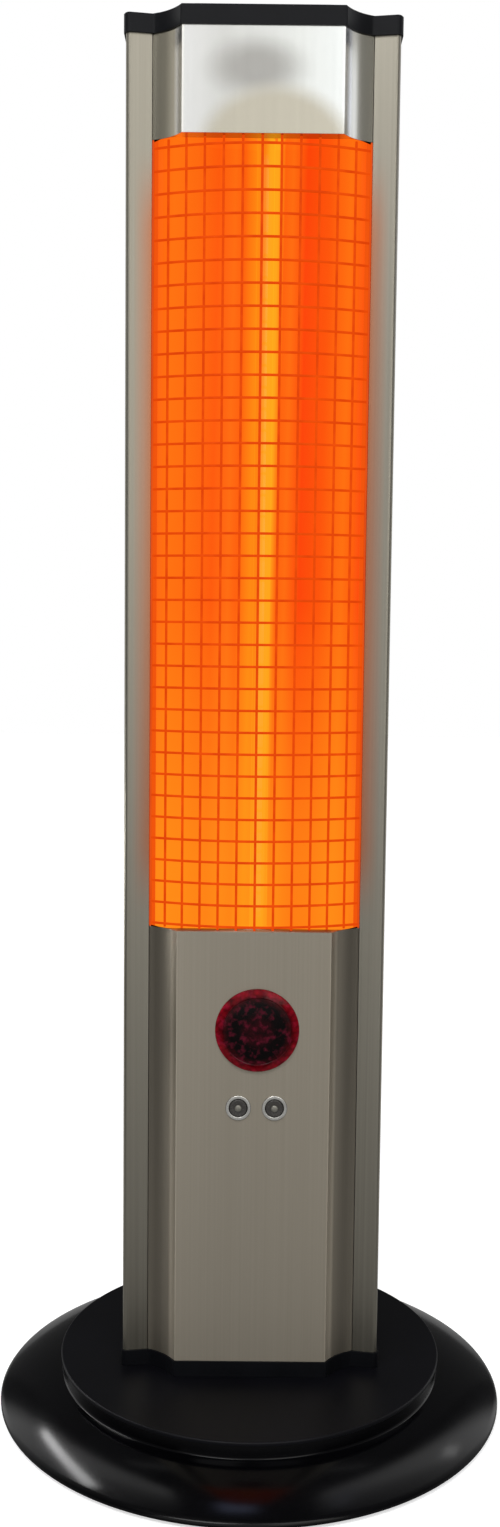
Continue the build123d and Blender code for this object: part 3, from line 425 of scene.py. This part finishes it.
# Painted light: where the glow spills, the silver is tinted brown, and in the webs' box it is darkened, so
# that the painted glow reads.
silver = shader.inputs["Base Color"].links[0].from_socket
share = maths(tree, "MULTIPLY", spill, spill_brown)
warmed = add_node(tree, "MixRGB", {"Color2": linear("#9a5a34")}, {"Fac": share, "Color1": silver})
browned = add_node(tree, "MixRGB", {"Color2": linear("#2a0c05")}, {"Fac": web, "Color1": warmed})
connect(tree, shader, {"Base Color": browned})
lit = maths(tree, "MAXIMUM", web, maths(tree, "MULTIPLY", spill, spill_shine))
shader.inputs["Emission Color"].default_value = linear("#ee540c")
connect(tree, shader, {"Emission Strength": lit})
print("the light spills from x", valley_x, "to", spill_x, "mm")

# %% [markdown]
# ## The receiver lens
#
# The lens is a disc of dark red acrylic over the remote control's receiver. Its thick rim gathers light and
# shows crimson, its middle is nearly black, and the receiver behind it makes a faint plum spot. Clear acrylic
# would need the works behind it and many bounces of light, so the finish paints that gathered light by the
# distance from the lens's own axis, a cell pattern hints at the prisms inside, and blotches add painted
# glints.

# %% Dark red acrylic
lens_z = 312.8
lens_r = 32.0
prism_mm = 4.0

red_acrylic, tree, shader = new_finish("dark_red_acrylic", Roughness=0.10, Specular_IOR_Level=0.1, IOR=1.49)
place = add_node(tree, "TexCoord").outputs["Object"]
centred = add_node(tree, "Mapping", {"Location": (-axis_x * MM, 0, -lens_z * MM)}, {"Vector": place})
apart = add_node(tree, "SeparateXYZ", links={"Vector": centred})
flat = add_node(tree, "CombineXYZ", links={"X": apart.outputs["X"], "Z": apart.outputs["Z"]})
radius = add_node(tree, "VectorMath", links={0: flat}, operation="LENGTH").outputs["Value"]
ring = remap(tree, radius, 0, lens_r * MM)
body = add_node(tree, "ValToRGB", links={"Fac": ring}, stops=(
    (0.0, "#34020c"), (1.0, "#8a0a1c"), (0.28, "#2a0209"), (0.44, "#080102"), (0.66, "#060001"),
    (0.80, "#3c0208"), (0.90, "#7c0614")))
prisms = add_node(tree, "TexVoronoi", {"Scale": 1 / (prism_mm * MM)}, {"Vector": place})
facet = add_node(tree, "ValToRGB", links={"Fac": prisms.outputs["Distance"]},
                 stops=((0.0, "#ffffff"), (1.0, "#7a7a7a")))
# Painted glints: plum specks over the dark middle.
painted_glints = add_node(tree, "ValToRGB", links={"Fac": blotches(tree, 4.5, 3.0)},
                  stops=((0.50, "#000000"), (0.74, "#520c20")))
both = add_node(tree, "MixRGB", {"Fac": 1.0}, {"Color1": body, "Color2": facet}, blend_type="MULTIPLY")
both = add_node(tree, "MixRGB", {"Fac": 1.0}, {"Color1": both, "Color2": painted_glints}, blend_type="ADD")
connect(tree, shader, {"Base Color": both})

# %% [markdown]
# ## Every measured piece gets its finish
#
# The model names a material slot for each piece. The dictionary below pairs each slot with one of the
# finishes, and the loop puts it on. By hand, 47 pieces would be slow and easy to get wrong. Pieces that are
# modelled anew below replace their plain versions.

# %% Dress the measured pieces
finishes = {
    "base_gloss": gloss_enamel, "base_satin": satin_coat, "zinc_steel": zinc_plate, "iron_plate": iron_slab,
    "foot_rubber": black_rubber, "bolt_steel": zinc_plate, "cap_black": moulded_black,
    "rail_silver": anodised_rail, "cover_steel": hairline_cover, "back_paint": grey_coat,
    "wire_steel": guard_wire_painted_glow, "reflector_bright": reflector_painted_glow, "quartz": hot_quartz,
    "glowing_element": hot_coil, "white_ceramic": steatite_painted_light, "lens_red": red_acrylic,
    "button_black": button_plastic, "bezel_silver": chromed_trim, "dot_silver": satin_dot,
    "board_green": circuit_board, "switch_black": black_nylon, "block_white": white_nylon,
    "gland_black": black_nylon,
}
slot_of = {part["node"]: part["material_slot"] for part in frame["record"]["subparts"]}
bodies = frame["record"]["behaviour"]["bodies"]
body_of = {node: body for body, members in bodies.items() for node in members}
for name, node in nodes.items():
    for material_slot in node.material_slots:
        material_slot.material = finishes[slot_of[name]]
print("dressed", len(nodes), "pieces in", len(finishes), "finishes")

# %% [markdown]
# ## Handing a new piece over
#
# A new piece takes the place of a measured one: it rides on the same body, stands for that node and takes
# its finish. Before that its object is set back to the origin, so that its place is in its mesh. Every piece
# needs the same few operators, so small helpers call them.

# %% Helpers that finish a piece
TOWER = "tower"


def activate(piece):
    """Makes one piece the only one selected."""
    bpy.ops.object.select_all(action="DESELECT")
    piece.select_set(True)
    bpy.context.view_layer.objects.active = piece


def primitive(add, name, **values):
    """A new primitive, the only thing selected."""
    bpy.ops.object.select_all(action="DESELECT")
    add(**values)
    bpy.context.object.name = name
    return bpy.context.object


def copy_of(pattern, name):
    """A new piece with its own copy of a pattern's mesh."""
    piece = bpy.data.objects.new(name, pattern.data.copy())
    bpy.context.scene.collection.objects.link(piece)
    return piece


def apply_modifiers(piece):
    activate(piece)
    for name in [modifier.name for modifier in piece.modifiers]:
        bpy.ops.object.modifier_apply(modifier=name)


def smooth(piece, sharp_from):
    """Smooth shading, with edges from sharp_from degrees kept sharp and large faces kept flat."""
    activate(piece)
    bpy.ops.object.transform_apply()
    bpy.ops.object.shade_smooth_by_angle(angle=radians(sharp_from))
    piece.modifiers.new("flat faces stay flat", "WEIGHTED_NORMAL").keep_sharp = True
    apply_modifiers(piece)


def hand_over(piece, node_name, finish=None):
    """The piece takes a measured node's place: its body, its slot and its finish."""
    piece.data.materials.clear()
    piece.data.materials.append(finish or finishes[slot_of[node_name]])
    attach(piece, body_of[node_name])
    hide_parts(node_name)
    print(piece.name, "stands for", node_name, "with", len(piece.data.polygons), "faces")


print("new pieces ride on:", ", ".join(bodies))

# %% [markdown]
# ## Softened edges
#
# Nothing real has a perfectly sharp edge: sheet metal is bent with a small radius, and an extrusion's
# corners are broken. That small round is what catches a bright line of light. Rails, covers and caps have
# their true section already, so instead of new ones, a copy of each mesh is merged, its loose triangles are
# joined into faces, and a Bevel modifier rounds the edges. Weighted Normal keeps large faces looking flat.

# %% Soften the prismatic pieces
def soften(node_name, piece_name, radius_mm, segments, finish):
    piece = copy_of(nodes[node_name], piece_name)
    activate(piece)
    bpy.ops.mesh.customdata_custom_splitnormals_clear()
    bpy.ops.object.mode_set(mode="EDIT")
    bpy.ops.mesh.select_all(action="SELECT")
    bpy.ops.mesh.remove_doubles(threshold=0.001 * MM)
    bpy.ops.mesh.dissolve_limited(angle_limit=radians(0.5))
    bpy.ops.object.mode_set(mode="OBJECT")
    edges = piece.modifiers.new("soft edges", "BEVEL")
    edges.width = radius_mm * MM
    edges.segments = segments
    edges.limit_method = "ANGLE"
    edges.angle_limit = radians(35)
    apply_modifiers(piece)
    smooth(piece, 50)
    hand_over(piece, node_name, finish)


for node_name, piece_name, radius_mm, segments, finish in (
        ("left_rail", "left_extrusion", 0.25, 2, None), ("right_rail", "right_extrusion", 0.25, 2, None),
        ("lower_front_cover", "lower_cover_sheet", 0.25, 2, None),
        ("upper_front_cover", "upper_cover_sheet", 0.25, 2, polished_cover),
        ("top_cap", "top_moulding", 0.7, 3, None), ("bottom_cap", "bottom_moulding", 0.5, 2, None),
        ("back_cover", "back_sheet", 0.2, 2, None), ("grille_side_strips", "guard_strips", 0.2, 1, side_strip_painted_glow),
        ("reflector", "folded_reflector", 0.3, 2, None), ("gland_body", "gland_hexagon", 0.4, 2, None),
        ("gland_cap", "gland_dome", 0.4, 2, None)):
    soften(node_name, piece_name, radius_mm, segments, finish)

# %% [markdown]
# ## Turned pieces
#
# The saucer, its top plate, the lens, the buttons and their rings are all round. They could be built from
# cylinders with insets and bevels, but a lathe is nearer to how such shapes are drawn: one vertex is extruded
# along the outline of the piece, and the Spin tool carries that outline once round the axis.

# %% The lathe
UP = Vector((0, 0, 1))
FRONT = Vector((0, -1, 0))


def arc(centre, radius, start, end, steps):
    """Points along a round stretch of an outline, with angles in degrees."""
    angles = [radians(start + (end - start) * i / steps) for i in range(steps + 1)]
    return [(centre[0] + radius * cos(a), centre[1] + radius * sin(a)) for a in angles]


def close_up():
    """Merges what a spin leaves double, turns all faces outwards and leaves edit mode."""
    bpy.ops.mesh.select_all(action="SELECT")
    bpy.ops.mesh.remove_doubles(threshold=0.002 * MM)
    bpy.ops.mesh.normals_make_consistent(inside=False)
    bpy.ops.object.mode_set(mode="OBJECT")


def turned(name, outline, foot, axis, steps, sharp_from=35):
    """Spins an outline of (distance from the axis, distance along it), in mm, round an axis through foot."""
    points = [(Vector(foot) + Vector((across, 0, 0)) + axis * along) * MM for across, along in outline]
    piece = primitive(bpy.ops.mesh.primitive_plane_add, name, size=MM)
    bpy.ops.object.mode_set(mode="EDIT")
    bpy.ops.mesh.merge(type="CENTER")
    bpy.ops.transform.translate(value=points[0])
    for here, there in zip(points, points[1:]):
        bpy.ops.mesh.extrude_vertices_move(TRANSFORM_OT_translate={"value": there - here})
    bpy.ops.mesh.select_all(action="SELECT")
    bpy.ops.mesh.spin(steps=steps, angle=2 * pi, center=Vector(foot) * MM, axis=axis)
    close_up()
    smooth(piece, sharp_from)
    return piece


print("the lathe turns round", tuple(UP), "or", tuple(FRONT))

# %% [markdown]
# ### The saucer and its top plate
#
# The saucer is pressed from sheet and enamelled. Its slope is one round stretch of 135 mm radius, its rim
# turns down to a small upright edge, and an upright wall carries the flat top. The plate that lies on it
# has a narrow broken edge, which draws a thin light line round it in the photograph. The slope's centre is
# worked out from its two ends, because an arc placed by eye would miss one of them.

# %% Turn the base
base_r = 200.0
rim_top = 6.0
rim_gap = 3.0  # daylight under the rim
neck_r = 150.5
neck_z = 24.5  # where the slope meets the upright wall
plate_z = 35.0
plate_r = 152.0
base_top = 38.0
shell_t = 2.5
slope_r = 135.0

rim_point = Vector((base_r, rim_top))
neck_point = Vector((neck_r, neck_z))
chord = neck_point - rim_point
inward = Vector((-chord.y, chord.x)).normalized()  # from the slope towards its centre
slope_centre = (rim_point + neck_point) / 2 + inward * (slope_r ** 2 - chord.length ** 2 / 4) ** 0.5
rim_angle = degrees(atan2(rim_top - slope_centre.y, base_r - slope_centre.x))
neck_angle = degrees(atan2(neck_z - slope_centre.y, neck_r - slope_centre.x))
print("the slope is an arc round", [round(c, 1) for c in slope_centre], "from", round(rim_angle, 1), "to",
      round(neck_angle, 1), "degrees")

saucer = turned("pressed_saucer", [
    (0, plate_z), *arc((neck_r - 0.8, plate_z - 0.8), 0.8, 90, 0, 3), (neck_r, neck_z + 1.2),
    (neck_r + 0.4, neck_z + 0.4), *arc(slope_centre, slope_r, neck_angle - 0.5, rim_angle + 0.5, 18),
    (base_r, rim_top - 0.9), (base_r, rim_gap + 0.4), (base_r - 0.4, rim_gap), (base_r - shell_t, rim_gap),
    *arc(slope_centre, slope_r - shell_t, rim_angle + 1.5, neck_angle, 9),
    (neck_r - shell_t, neck_z), (neck_r - shell_t, plate_z - shell_t), (0, plate_z - shell_t),
], (0, 0, 0), UP, 160)
hand_over(saucer, "base_saucer")

plate = turned("satin_top_plate", [
    (0, plate_z), (plate_r - 0.3, plate_z), (plate_r, plate_z + 0.3),
    *arc((plate_r - 1.4, base_top - 1.4), 1.4, 0, 90, 4), (0, base_top)], (0, 0, 0), UP, 160)
hand_over(plate, "base_top_plate")

# %% [markdown]
# ### The lens
#
# The lens stands 5 mm proud with a sloping rim, a shallow groove inside it and a slightly domed middle. It
# steps in to a boss that fills the cover's hole. One outline for the lathe holds all of that.

# %% Turn the lens
boss_r = 29.0
boss_back = -8.0  # heights are measured forwards from the flat front
dome_top = 5.0
dome_r = 378.0
dome_edge = 24.5  # the dome reaches this far from the axis

receiver = turned("domed_lens", [
    (0, boss_back), (boss_r, boss_back), (boss_r, 0), (lens_r - 0.2, 0), (lens_r, 0.2), (lens_r, 0.9),
    *arc((lens_r - 1.4, 0.9), 1.4, 10, 55, 4),
    (28.6, 3.1), (26.8, 4.1), (26.3, 4.25), (25.9, 4.1), (25.6, 3.9), (25.2, 4.0),
    *arc((0, dome_top - dome_r), dome_r, 90 - degrees(dome_edge / dome_r), 90, 8)],
    (axis_x, front_y, lens_z), FRONT, 96)
hand_over(receiver, "receiver_lens")

# %% [markdown]
# ### The buttons and their rings
#
# Each button is a small turned cap with a flange and a stem behind the cover, and a light dot in the middle
# of its face. Its ring has a rounded front edge. The rings never move, so they are one piece, doubled by an
# Array. The buttons are pressed one at a time and stay two pieces.

# %% Turn the rings
button_z = 252.1
button_pitch = 27.7
ring_r = 9.75
bore_r = 7.0
sleeve_r = 8.3  # the part in the cover's hole
ring_back = -6.0


def repeat(piece, count, step_mm):
    """Repeats a piece in a row by an Array modifier."""
    row = piece.modifiers.new("row", "ARRAY")
    row.count = count
    row.use_relative_offset = False
    row.use_constant_offset = True
    row.constant_offset_displace = Vector(step_mm) * MM
    apply_modifiers(piece)


rings = turned("button_rings", [
    (bore_r, ring_back), (bore_r, 0.35), *arc((bore_r + 0.6, 0.35), 0.62, 180, 90, 3),
    *arc((ring_r - 0.65, 0.32), 0.65, 90, 0, 4), (ring_r, 0), (sleeve_r, 0), (sleeve_r, ring_back),
    (bore_r, ring_back)], (axis_x - button_pitch / 2, front_y, button_z), FRONT, 48)
repeat(rings, 2, (button_pitch, 0, 0))
hand_over(rings, "button_bezels")

# %% Turn the buttons and their dots
cap_r = 6.7
flange_r = 8.2
flange_front = -6.1
flange_back = -7.6
stem_r = 2.5
stem_back = -13.6
dot_r = 2.65

for side, x in (("left", axis_x - button_pitch / 2), ("right", axis_x + button_pitch / 2)):
    button = turned(f"{side}_button_cap", [
        (0, stem_back), (stem_r, stem_back), (stem_r, flange_back), (flange_r, flange_back),
        (flange_r, flange_front), (cap_r, flange_front), (cap_r, 0.8),
        *arc((cap_r - 0.8, 0.8), 0.8, 0, 90, 4), (3.2, 1.35), (0, 1.3)], (x, front_y, button_z), FRONT, 48)
    hand_over(button, f"{side}_button")
    dot = turned(f"{side}_light_dot", [
        (0, 1.25), (dot_r, 1.25), (dot_r, 1.75), *arc((dot_r - 0.45, 1.75), 0.45, 0, 75, 3), (1.2, 2.35),
        (0, 2.4)], (x, front_y, button_z), FRONT, 32)
    hand_over(dot, f"{side}_button_dot")

# %% [markdown]
# ## The welded wire guard
#
# The guard is 36 cross wires, bowed forwards from side to side, and 11 upright wires welded behind them. A
# bevelled curve would make a wire too, but Spin leaves clean rings of faces: a small circle at the left end,
# square to the bow, is carried round the bow's centre to the right end. An Array repeats the wire upwards.

# %% Bow the cross wires
wire_r = 0.95
cover_t = 1.2
wire_y = front_y + cover_t + wire_r  # the middle of a cross wire, where it stands furthest forward
wire_end_x = valley_x - cover_t
valley_y = -38.0  # the bottom of the hollows
wire_end_y = valley_y + wire_r
bow_depth = wire_end_y - wire_y
bow_r = (wire_end_x ** 2 + bow_depth ** 2) / (2 * bow_depth)
bow_half_angle = asin(wire_end_x / bow_r)
bow_steps = 24
cross_first = 2.85  # middle of the lowest cross wire above the window's edge
cross_pitch = 16.4
cross_count = 36
first_z = window_z + cross_first
print("the bow's radius:", round(bow_r, 1), "mm, half angle:", round(degrees(bow_half_angle), 1), "degrees")

cross_wires = primitive(bpy.ops.mesh.primitive_circle_add, "guard_cross_wires", vertices=10,
                        radius=wire_r * MM, fill_type="NGON", rotation=(0, pi / 2, -bow_half_angle),
                        location=(-wire_end_x * MM, wire_end_y * MM, first_z * MM))
bpy.ops.object.transform_apply()
bpy.ops.object.mode_set(mode="EDIT")
bpy.ops.mesh.select_all(action="SELECT")
bpy.ops.mesh.spin(steps=bow_steps, angle=2 * bow_half_angle, axis=(0, 0, -1),
                  center=(0, (wire_y + bow_r) * MM, first_z * MM))
close_up()
repeat(cross_wires, cross_count, (0, 0, cross_pitch))
smooth(cross_wires, 60)
hand_over(cross_wires, "grille_cross_wires")

# %% [markdown]
# An upright wire is plain and straight, but its ends are trimmed with a small broken edge. Eleven copies
# stand at equal distances along the bow, just behind it, as the welder's jig would hold them, and are joined.
# An Array runs straight and can't follow the bow, so each copy is placed by its angle.

# %% Copies, each with its own mesh
def copies(pattern, name, places):
    """Copies a piece to places of (x, y, z in mm, turn about X, turn about Z), and removes the pattern."""
    made = []
    for number, (x, y, z, tip, turn) in enumerate(places, 1):
        piece = copy_of(pattern, f"{name}_{number}")
        piece.location = Vector((x, y, z)) * MM
        piece.rotation_euler = (tip, 0, turn)
        activate(piece)
        bpy.ops.object.transform_apply()
        made.append(piece)
    bpy.data.objects.remove(pattern)
    return made


def join(pieces, name):
    activate(pieces[0])
    for piece in pieces[1:]:
        piece.select_set(True)
    bpy.ops.object.join()
    pieces[0].name = name
    return pieces[0]


upright_pitch = 14.2  # along the bow
uprights_each_side = 5
behind_r = bow_r - 2 * wire_r  # the uprights touch the cross wires from behind
upright_pattern = turned("upright_wire", [
    (0, 0), (wire_r - 0.2, 0), (wire_r, 0.2), (wire_r, window_h - 0.2), (wire_r - 0.2, window_h),
    (0, window_h)], (0, 0, 0), UP, 10, 60)
places = []
for number in range(-uprights_each_side, uprights_each_side + 1):
    angle = number * upright_pitch / bow_r
    places.append((behind_r * sin(angle), wire_y + bow_r - behind_r * cos(angle), window_z, 0, 0))
uprights = join(copies(upright_pattern, "upright_wire", places), "guard_upright_wires")
hand_over(uprights, "grille_upright_wires")

# %% [markdown]
# ## The lamp
#
# The quartz tube is a straight turned tube. The heating wire inside is a close coil. A helix could be drawn
# point by point as a curve, but the Screw modifier winds it directly: one small circle stands beside the axis
# and is carried upwards, a turn every 2.2 mm.

# %% The tube
tube_r = 6.5
tube_wall = 1.2

low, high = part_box("lamp_tube")
lamp_foot = (axis_x, (low[1] + high[1]) / 2 / MM, low[2] / MM)
tube_l = (high[2] - low[2]) / MM
tube = turned("quartz_tube", [
    (tube_r - tube_wall, 0), (tube_r - 0.3, 0), (tube_r, 0.3), (tube_r, tube_l - 0.3), (tube_r - 0.3, tube_l),
    (tube_r - tube_wall, tube_l), (tube_r - tube_wall, 0)], lamp_foot, UP, 32)
hand_over(tube, "lamp_tube")

# %% The coil
coil_wire_r = 0.45
coil_pitch = 2.2
coil_steps = 12

low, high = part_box("lamp_element")
coil_r = (high[0] - low[0]) / 2 / MM - coil_wire_r
turns = int((high[2] - low[2]) / MM / coil_pitch) - 1
coil = primitive(bpy.ops.mesh.primitive_circle_add, "wound_coil", vertices=6, radius=coil_wire_r * MM,
                 rotation=(pi / 2, 0, 0), location=(coil_r * MM, 0, 0))
bpy.ops.object.transform_apply()
winding = coil.modifiers.new("winding", "SCREW")
winding.screw_offset = coil_pitch * MM
winding.iterations = turns
winding.steps = coil_steps
winding.render_steps = coil_steps
winding.use_normal_calculate = True
apply_modifiers(coil)
bpy.ops.object.mode_set(mode="EDIT")
bpy.ops.mesh.select_all(action="SELECT")
bpy.ops.mesh.fill_holes(sides=6)
bpy.ops.mesh.normals_make_consistent(inside=False)
bpy.ops.object.mode_set(mode="OBJECT")
coil.location = (axis_x * MM, lamp_foot[1] * MM, low[2] + coil_pitch * MM / 2)
smooth(coil, 80)
hand_over(coil, "lamp_element")

# %% [markdown]
# ## Screws and feet
#
# Pan-head screws hold the top cap, the back cover and the feet. One is turned, and a cross is cut into its
# head with a Boolean modifier, which is less work than insetting a cross by hand and leaves straight walls.

# %% One screw
head_r = 3.6
head_h = 2.2
shank_r = 2.0
shank_l = 3.0
cross_w = 0.9
cross_l = 4.2
cross_depth = 1.3

screw = turned("pan_head_screw", [
    (0, head_h), (1.4, head_h - 0.06), (2.4, head_h - 0.35), (3.1, head_h - 0.95), (3.5, 0.7), (head_r, 0.3),
    (head_r - 0.1, 0), (shank_r, 0), (shank_r, -shank_l), (0, -shank_l)], (0, 0, 0), UP, 28, 50)
cutter = primitive(bpy.ops.mesh.primitive_cube_add, "cross_cutter", size=MM,
                   scale=(cross_l, cross_w, 2 * cross_depth), location=(0, 0, head_h * MM))
bpy.ops.object.mode_set(mode="EDIT")
bpy.ops.mesh.primitive_cube_add(size=MM, scale=(cross_w, cross_l, 2 * cross_depth), location=(0, 0, 0))
bpy.ops.object.mode_set(mode="OBJECT")
cut = screw.modifiers.new("cross recess", "BOOLEAN")
cut.object = cutter
cut.use_self = True
apply_modifiers(screw)
bpy.data.objects.remove(cutter)
smooth(screw, 35)
print("screw:", len(screw.data.polygons), "faces")

# %% [markdown]
# Each rubber foot is turned with a rounded tread and a sunk hole, in which a screw sits. The other screws sit
# in the holes of the cap and the back cover. Each is turned a little differently, as tight screws are.

# %% Feet, and a screw in every hole
foot_h = 5.0
foot_r = 12.0
foot_ring = 165.0
foot_screw_z = 3.0
cap_screw_x = 94.5
cap_top = 1060.0
back_screw_x = 71.0
back_y = 57.0

foot = turned("rubber_foot", [
    (2.2, foot_h), (foot_r - 0.4, foot_h), (foot_r - 0.2, foot_h - 0.3), (foot_r, 1.2),
    *arc((foot_r - 1.0, 1.0), 1.0, 0, -90, 4), (6.0, 0), (5.4, 0.3), (4.8, 2.9), (2.2, 3.0), (2.2, foot_h)],
    (0, 0, 0), UP, 40)
foot_places = [(foot_ring * cos(radians(a)), foot_ring * sin(radians(a)), 0, 0, 0)
               for a in (36, 108, 180, 252, 324)]
cap_holes = [(side * cap_screw_x, y) for y in (-26.2, 38.0) for side in (-1, 1)]
screw_groups = (
    ("cap_screw", [(x, y, cap_top, 0, radians(20 + 35 * i)) for i, (x, y) in enumerate(cap_holes)]),
    ("back_screw", [(side * back_screw_x, back_y, z, -pi / 2, 0)
                    for side in (-1, 1) for z in (100.5, 548.25, 996.0)]),
    ("foot_screw", [(place[0], place[1], foot_screw_z, pi, radians(15 + 30 * i))
                    for i, place in enumerate(foot_places)]),
)
for name, places in screw_groups:
    for piece in copies(copy_of(screw, name), name, places):
        piece.data.materials.clear()
        piece.data.materials.append(bright_steel)
        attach(piece, TOWER)
    print(name, "x", len(places))
bpy.data.objects.remove(screw)
for piece in copies(foot, "rubber_foot", foot_places):
    hand_over(piece, "rubber_feet")

# %% [markdown]
# ## The studio
#
# The photograph is a cut-out on white, so the room is white wherever the camera, a mirror or a pane of glass
# looks at it. It lights the object at half that level, and two large soft lamps above the camera do the rest.
# Lamps bright enough to whiten a wall would wash the object out, so a Light Path node tells who is looking.

# %% The white room
room_light = 0.5

scene = bpy.context.scene
world = bpy.data.worlds.new("white_room")
scene.world = world
world.use_nodes = True
tree = world.node_tree
tree.nodes.clear()
rays = add_node(tree, "LightPath").outputs
seen = maths(tree, "MAXIMUM", rays["Is Camera Ray"], rays["Is Glossy Ray"])
seen = maths(tree, "MAXIMUM", seen, rays["Is Transmission Ray"])
level = remap(tree, seen, 0, 1, room_light, 1.0)
room = add_node(tree, "Background", {"Color": linear("#ffffff")}, {"Strength": level})
add_node(tree, "OutputWorld", links={"Surface": room})
print("the room lights the object at", room_light)

# %% [markdown]
# ### Floor and lamps
#
# The floor is pale paper. It keeps the object's shadow, and a little light of its own lifts it to white for
# the camera. In a mirror it is dark near the base, which shades it, and turns white further out.

# %% Paper floor and softboxes
floor_side = 14.0  # metres
softbox_side = 1.6
floor_lift = 0.6
shaded_to = 1.8  # metres from the tower
white_from = 4.0


def by_distance(tree, start, end, low, high):
    """Goes from low to high between two distances from the tower's foot, in metres."""
    place = add_node(tree, "TexCoord").outputs["Object"]
    away = add_node(tree, "VectorMath", links={0: place}, operation="LENGTH").outputs["Value"]
    return remap(tree, away, start, end, low, high)


floor = primitive(bpy.ops.mesh.primitive_plane_add, "pale_floor", size=floor_side)
paper, tree, shader = new_finish("white_paper_floor", Base_Color=linear("#e6e6e6"), Roughness=0.8,
                                 Specular_IOR_Level=0.1, Emission_Color=linear("#ffffff"))
far = by_distance(tree, shaded_to, white_from, 0.0, 1.0)
rays = add_node(tree, "LightPath").outputs
plain = maths(tree, "MAXIMUM", rays["Is Camera Ray"], rays["Is Transmission Ray"])
seen = maths(tree, "MAXIMUM", plain, maths(tree, "MULTIPLY", rays["Is Glossy Ray"], far))
connect(tree, shader, {"Emission Strength": maths(tree, "MULTIPLY", seen, floor_lift)})
floor.data.materials.append(paper)

for name, spot, target, power in (("key_softbox", (-1.0, -1.7, 2.9), (0, 0, 0.6), 50),
                                  ("fill_softbox", (1.1, -1.7, 2.6), (0, 0, 0.5), 20)):
    softbox = bpy.data.lights.new(name, "AREA")
    softbox.shape = "SQUARE"
    softbox.size = softbox_side
    softbox.energy = power
    lamp = bpy.data.objects.new(name, softbox)
    scene.collection.objects.link(lamp)
    lamp.location = spot
    lamp.rotation_euler = (Vector(target) - Vector(spot)).to_track_quat("-Z", "Y").to_euler()
print("lights:", [light.name for light in bpy.data.lights])

# %% [markdown]
# ### What the metal and the enamel mirror
#
# Polished things show what stands round them. Photographers place dark cards beside metal, so that its
# hollows read, and a long bright strip beside glossy black, for one clean curved highlight. Lamps would light
# the matt parts too, so these cards are seen in reflections only. Each is a plane, drawn between two ends
# with a width, its face towards the object.

# %% Helpers for the cards
def glow_only(name, hex_colour, strength):
    return new_finish(name, Base_Color=linear("#000000"), Roughness=1.0, Specular_IOR_Level=0.0,
                      Emission_Color=linear(hex_colour), Emission_Strength=strength)[0]


def card(name, start, end, width, target, finish):
    """A card with its middle line from start to end, in metres, turned to face the target."""
    start, end = Vector(start), Vector(end)
    along = (end - start).normalized()
    towards = Vector(target) - (start + end) / 2
    face = (towards - along * towards.dot(along)).normalized()
    panel = primitive(bpy.ops.mesh.primitive_plane_add, name, size=1)
    panel.location = (start + end) / 2
    panel.rotation_euler = Matrix((along, face.cross(along), face)).transposed().to_euler()
    panel.scale = ((end - start).length, width, 1)
    bpy.ops.object.transform_apply()
    panel.data.materials.append(finish)
    panel.visible_camera = False
    panel.visible_diffuse = False
    panel.visible_shadow = False
    panel.visible_transmission = False


# %% The cards' greys and whites
# The side cards are darkest in front and fade to white beside the tower, then to dark again behind it.
side_grey = glow_only("grey_side_card", "#ffffff", 1.8)
tree = side_grey.node_tree
back = remap(tree, object_xyz(tree)["Y"], -0.6, 0.4)
greys = add_node(tree, "ValToRGB", links={"Fac": back}, stops=(
    (0.30, "#4e4e4e"), (1.0, "#303030"), (0.45, "#646464"), (0.57, "#989898"), (0.66, "#c4c4c4"),
    (0.71, "#fafafa"), (0.80, "#fafafa"), (0.88, "#404040")))
connect(tree, tree.nodes["Principled BSDF"], {"Emission Color": greys})

# The mat on the floor is darkest round the base: painted shade of the base on the floor, seen in reflections.
mat_grey = glow_only("grey_floor_mat", "#ffffff", 1.0)
tree = mat_grey.node_tree
level = by_distance(tree, 0.25, 1.6, 0.36, 0.55)
connect(tree, tree.nodes["Principled BSDF"], {"Emission Strength": level})

dark_card = glow_only("dark_card", "#ffffff", 0.11)
cool_strip = glow_only("cool_white_strip", "#eef2ff", 1.5)
bright_panel = glow_only("bright_panel", "#fffdf6", 2.3)
bright_strip = glow_only("bright_strip", "#ffffff", 22.0)
small_lamp = glow_only("small_bright_lamp", "#ffffff", 5.0)
sky_panel = glow_only("cool_overhead_panel", "#c8d4ff", 3.0)

# %% Set the cards round the heater
for name, start, end, width, target, finish in (
        ("left_card", (-0.42, -0.1, 0.0), (-0.42, -0.1, 1.5), 1.0, (0, -0.1, 0.75), side_grey),
        ("right_card", (0.42, -0.1, 0.0), (0.42, -0.1, 1.5), 1.0, (0, -0.1, 0.75), side_grey),
        ("right_strip", (0.40, 0.02, 0.90), (0.40, 0.02, 1.155), 0.2, (0, 0.02, 1.03), cool_strip),
        ("front_right_panel", (0.85, -1.6, 0.62), (0.85, -1.6, 1.5), 1.2, (0, 0, 0.9), bright_panel),
        ("floor_mat", (-1.7, 0, 0.001), (1.7, 0, 0.001), 3.4, (0, 0, 1.0), mat_grey),
        ("back_card", (0, 1.4, 0.0), (0, 1.4, 2.6), 4.4, (0, 0, 1.3), dark_card),
        ("ceiling_card", (0, -1.3, 2.6), (0, 1.3, 2.6), 2.6, (0, 0, 0), dark_card),
        ("saucer_strip", (-0.41, 0.19, 0.3), (-0.384, -0.035, 0.44), 0.07, (-0.751, -0.433, -0.415),
         bright_strip),
        ("saucer_lamp", (0.40, 0.09, 0.295), (0.40, 0.135, 0.295), 0.045, (0.15, -0.1, 0.02), small_lamp),
        ("overhead_panel", (-0.20, -0.02, 1.8), (0.05, -0.02, 1.8), 0.2, (-0.05, -0.19, 0), sky_panel)):
    card(name, start, end, width, target, finish)
    print(name, "glows as", finish.name)
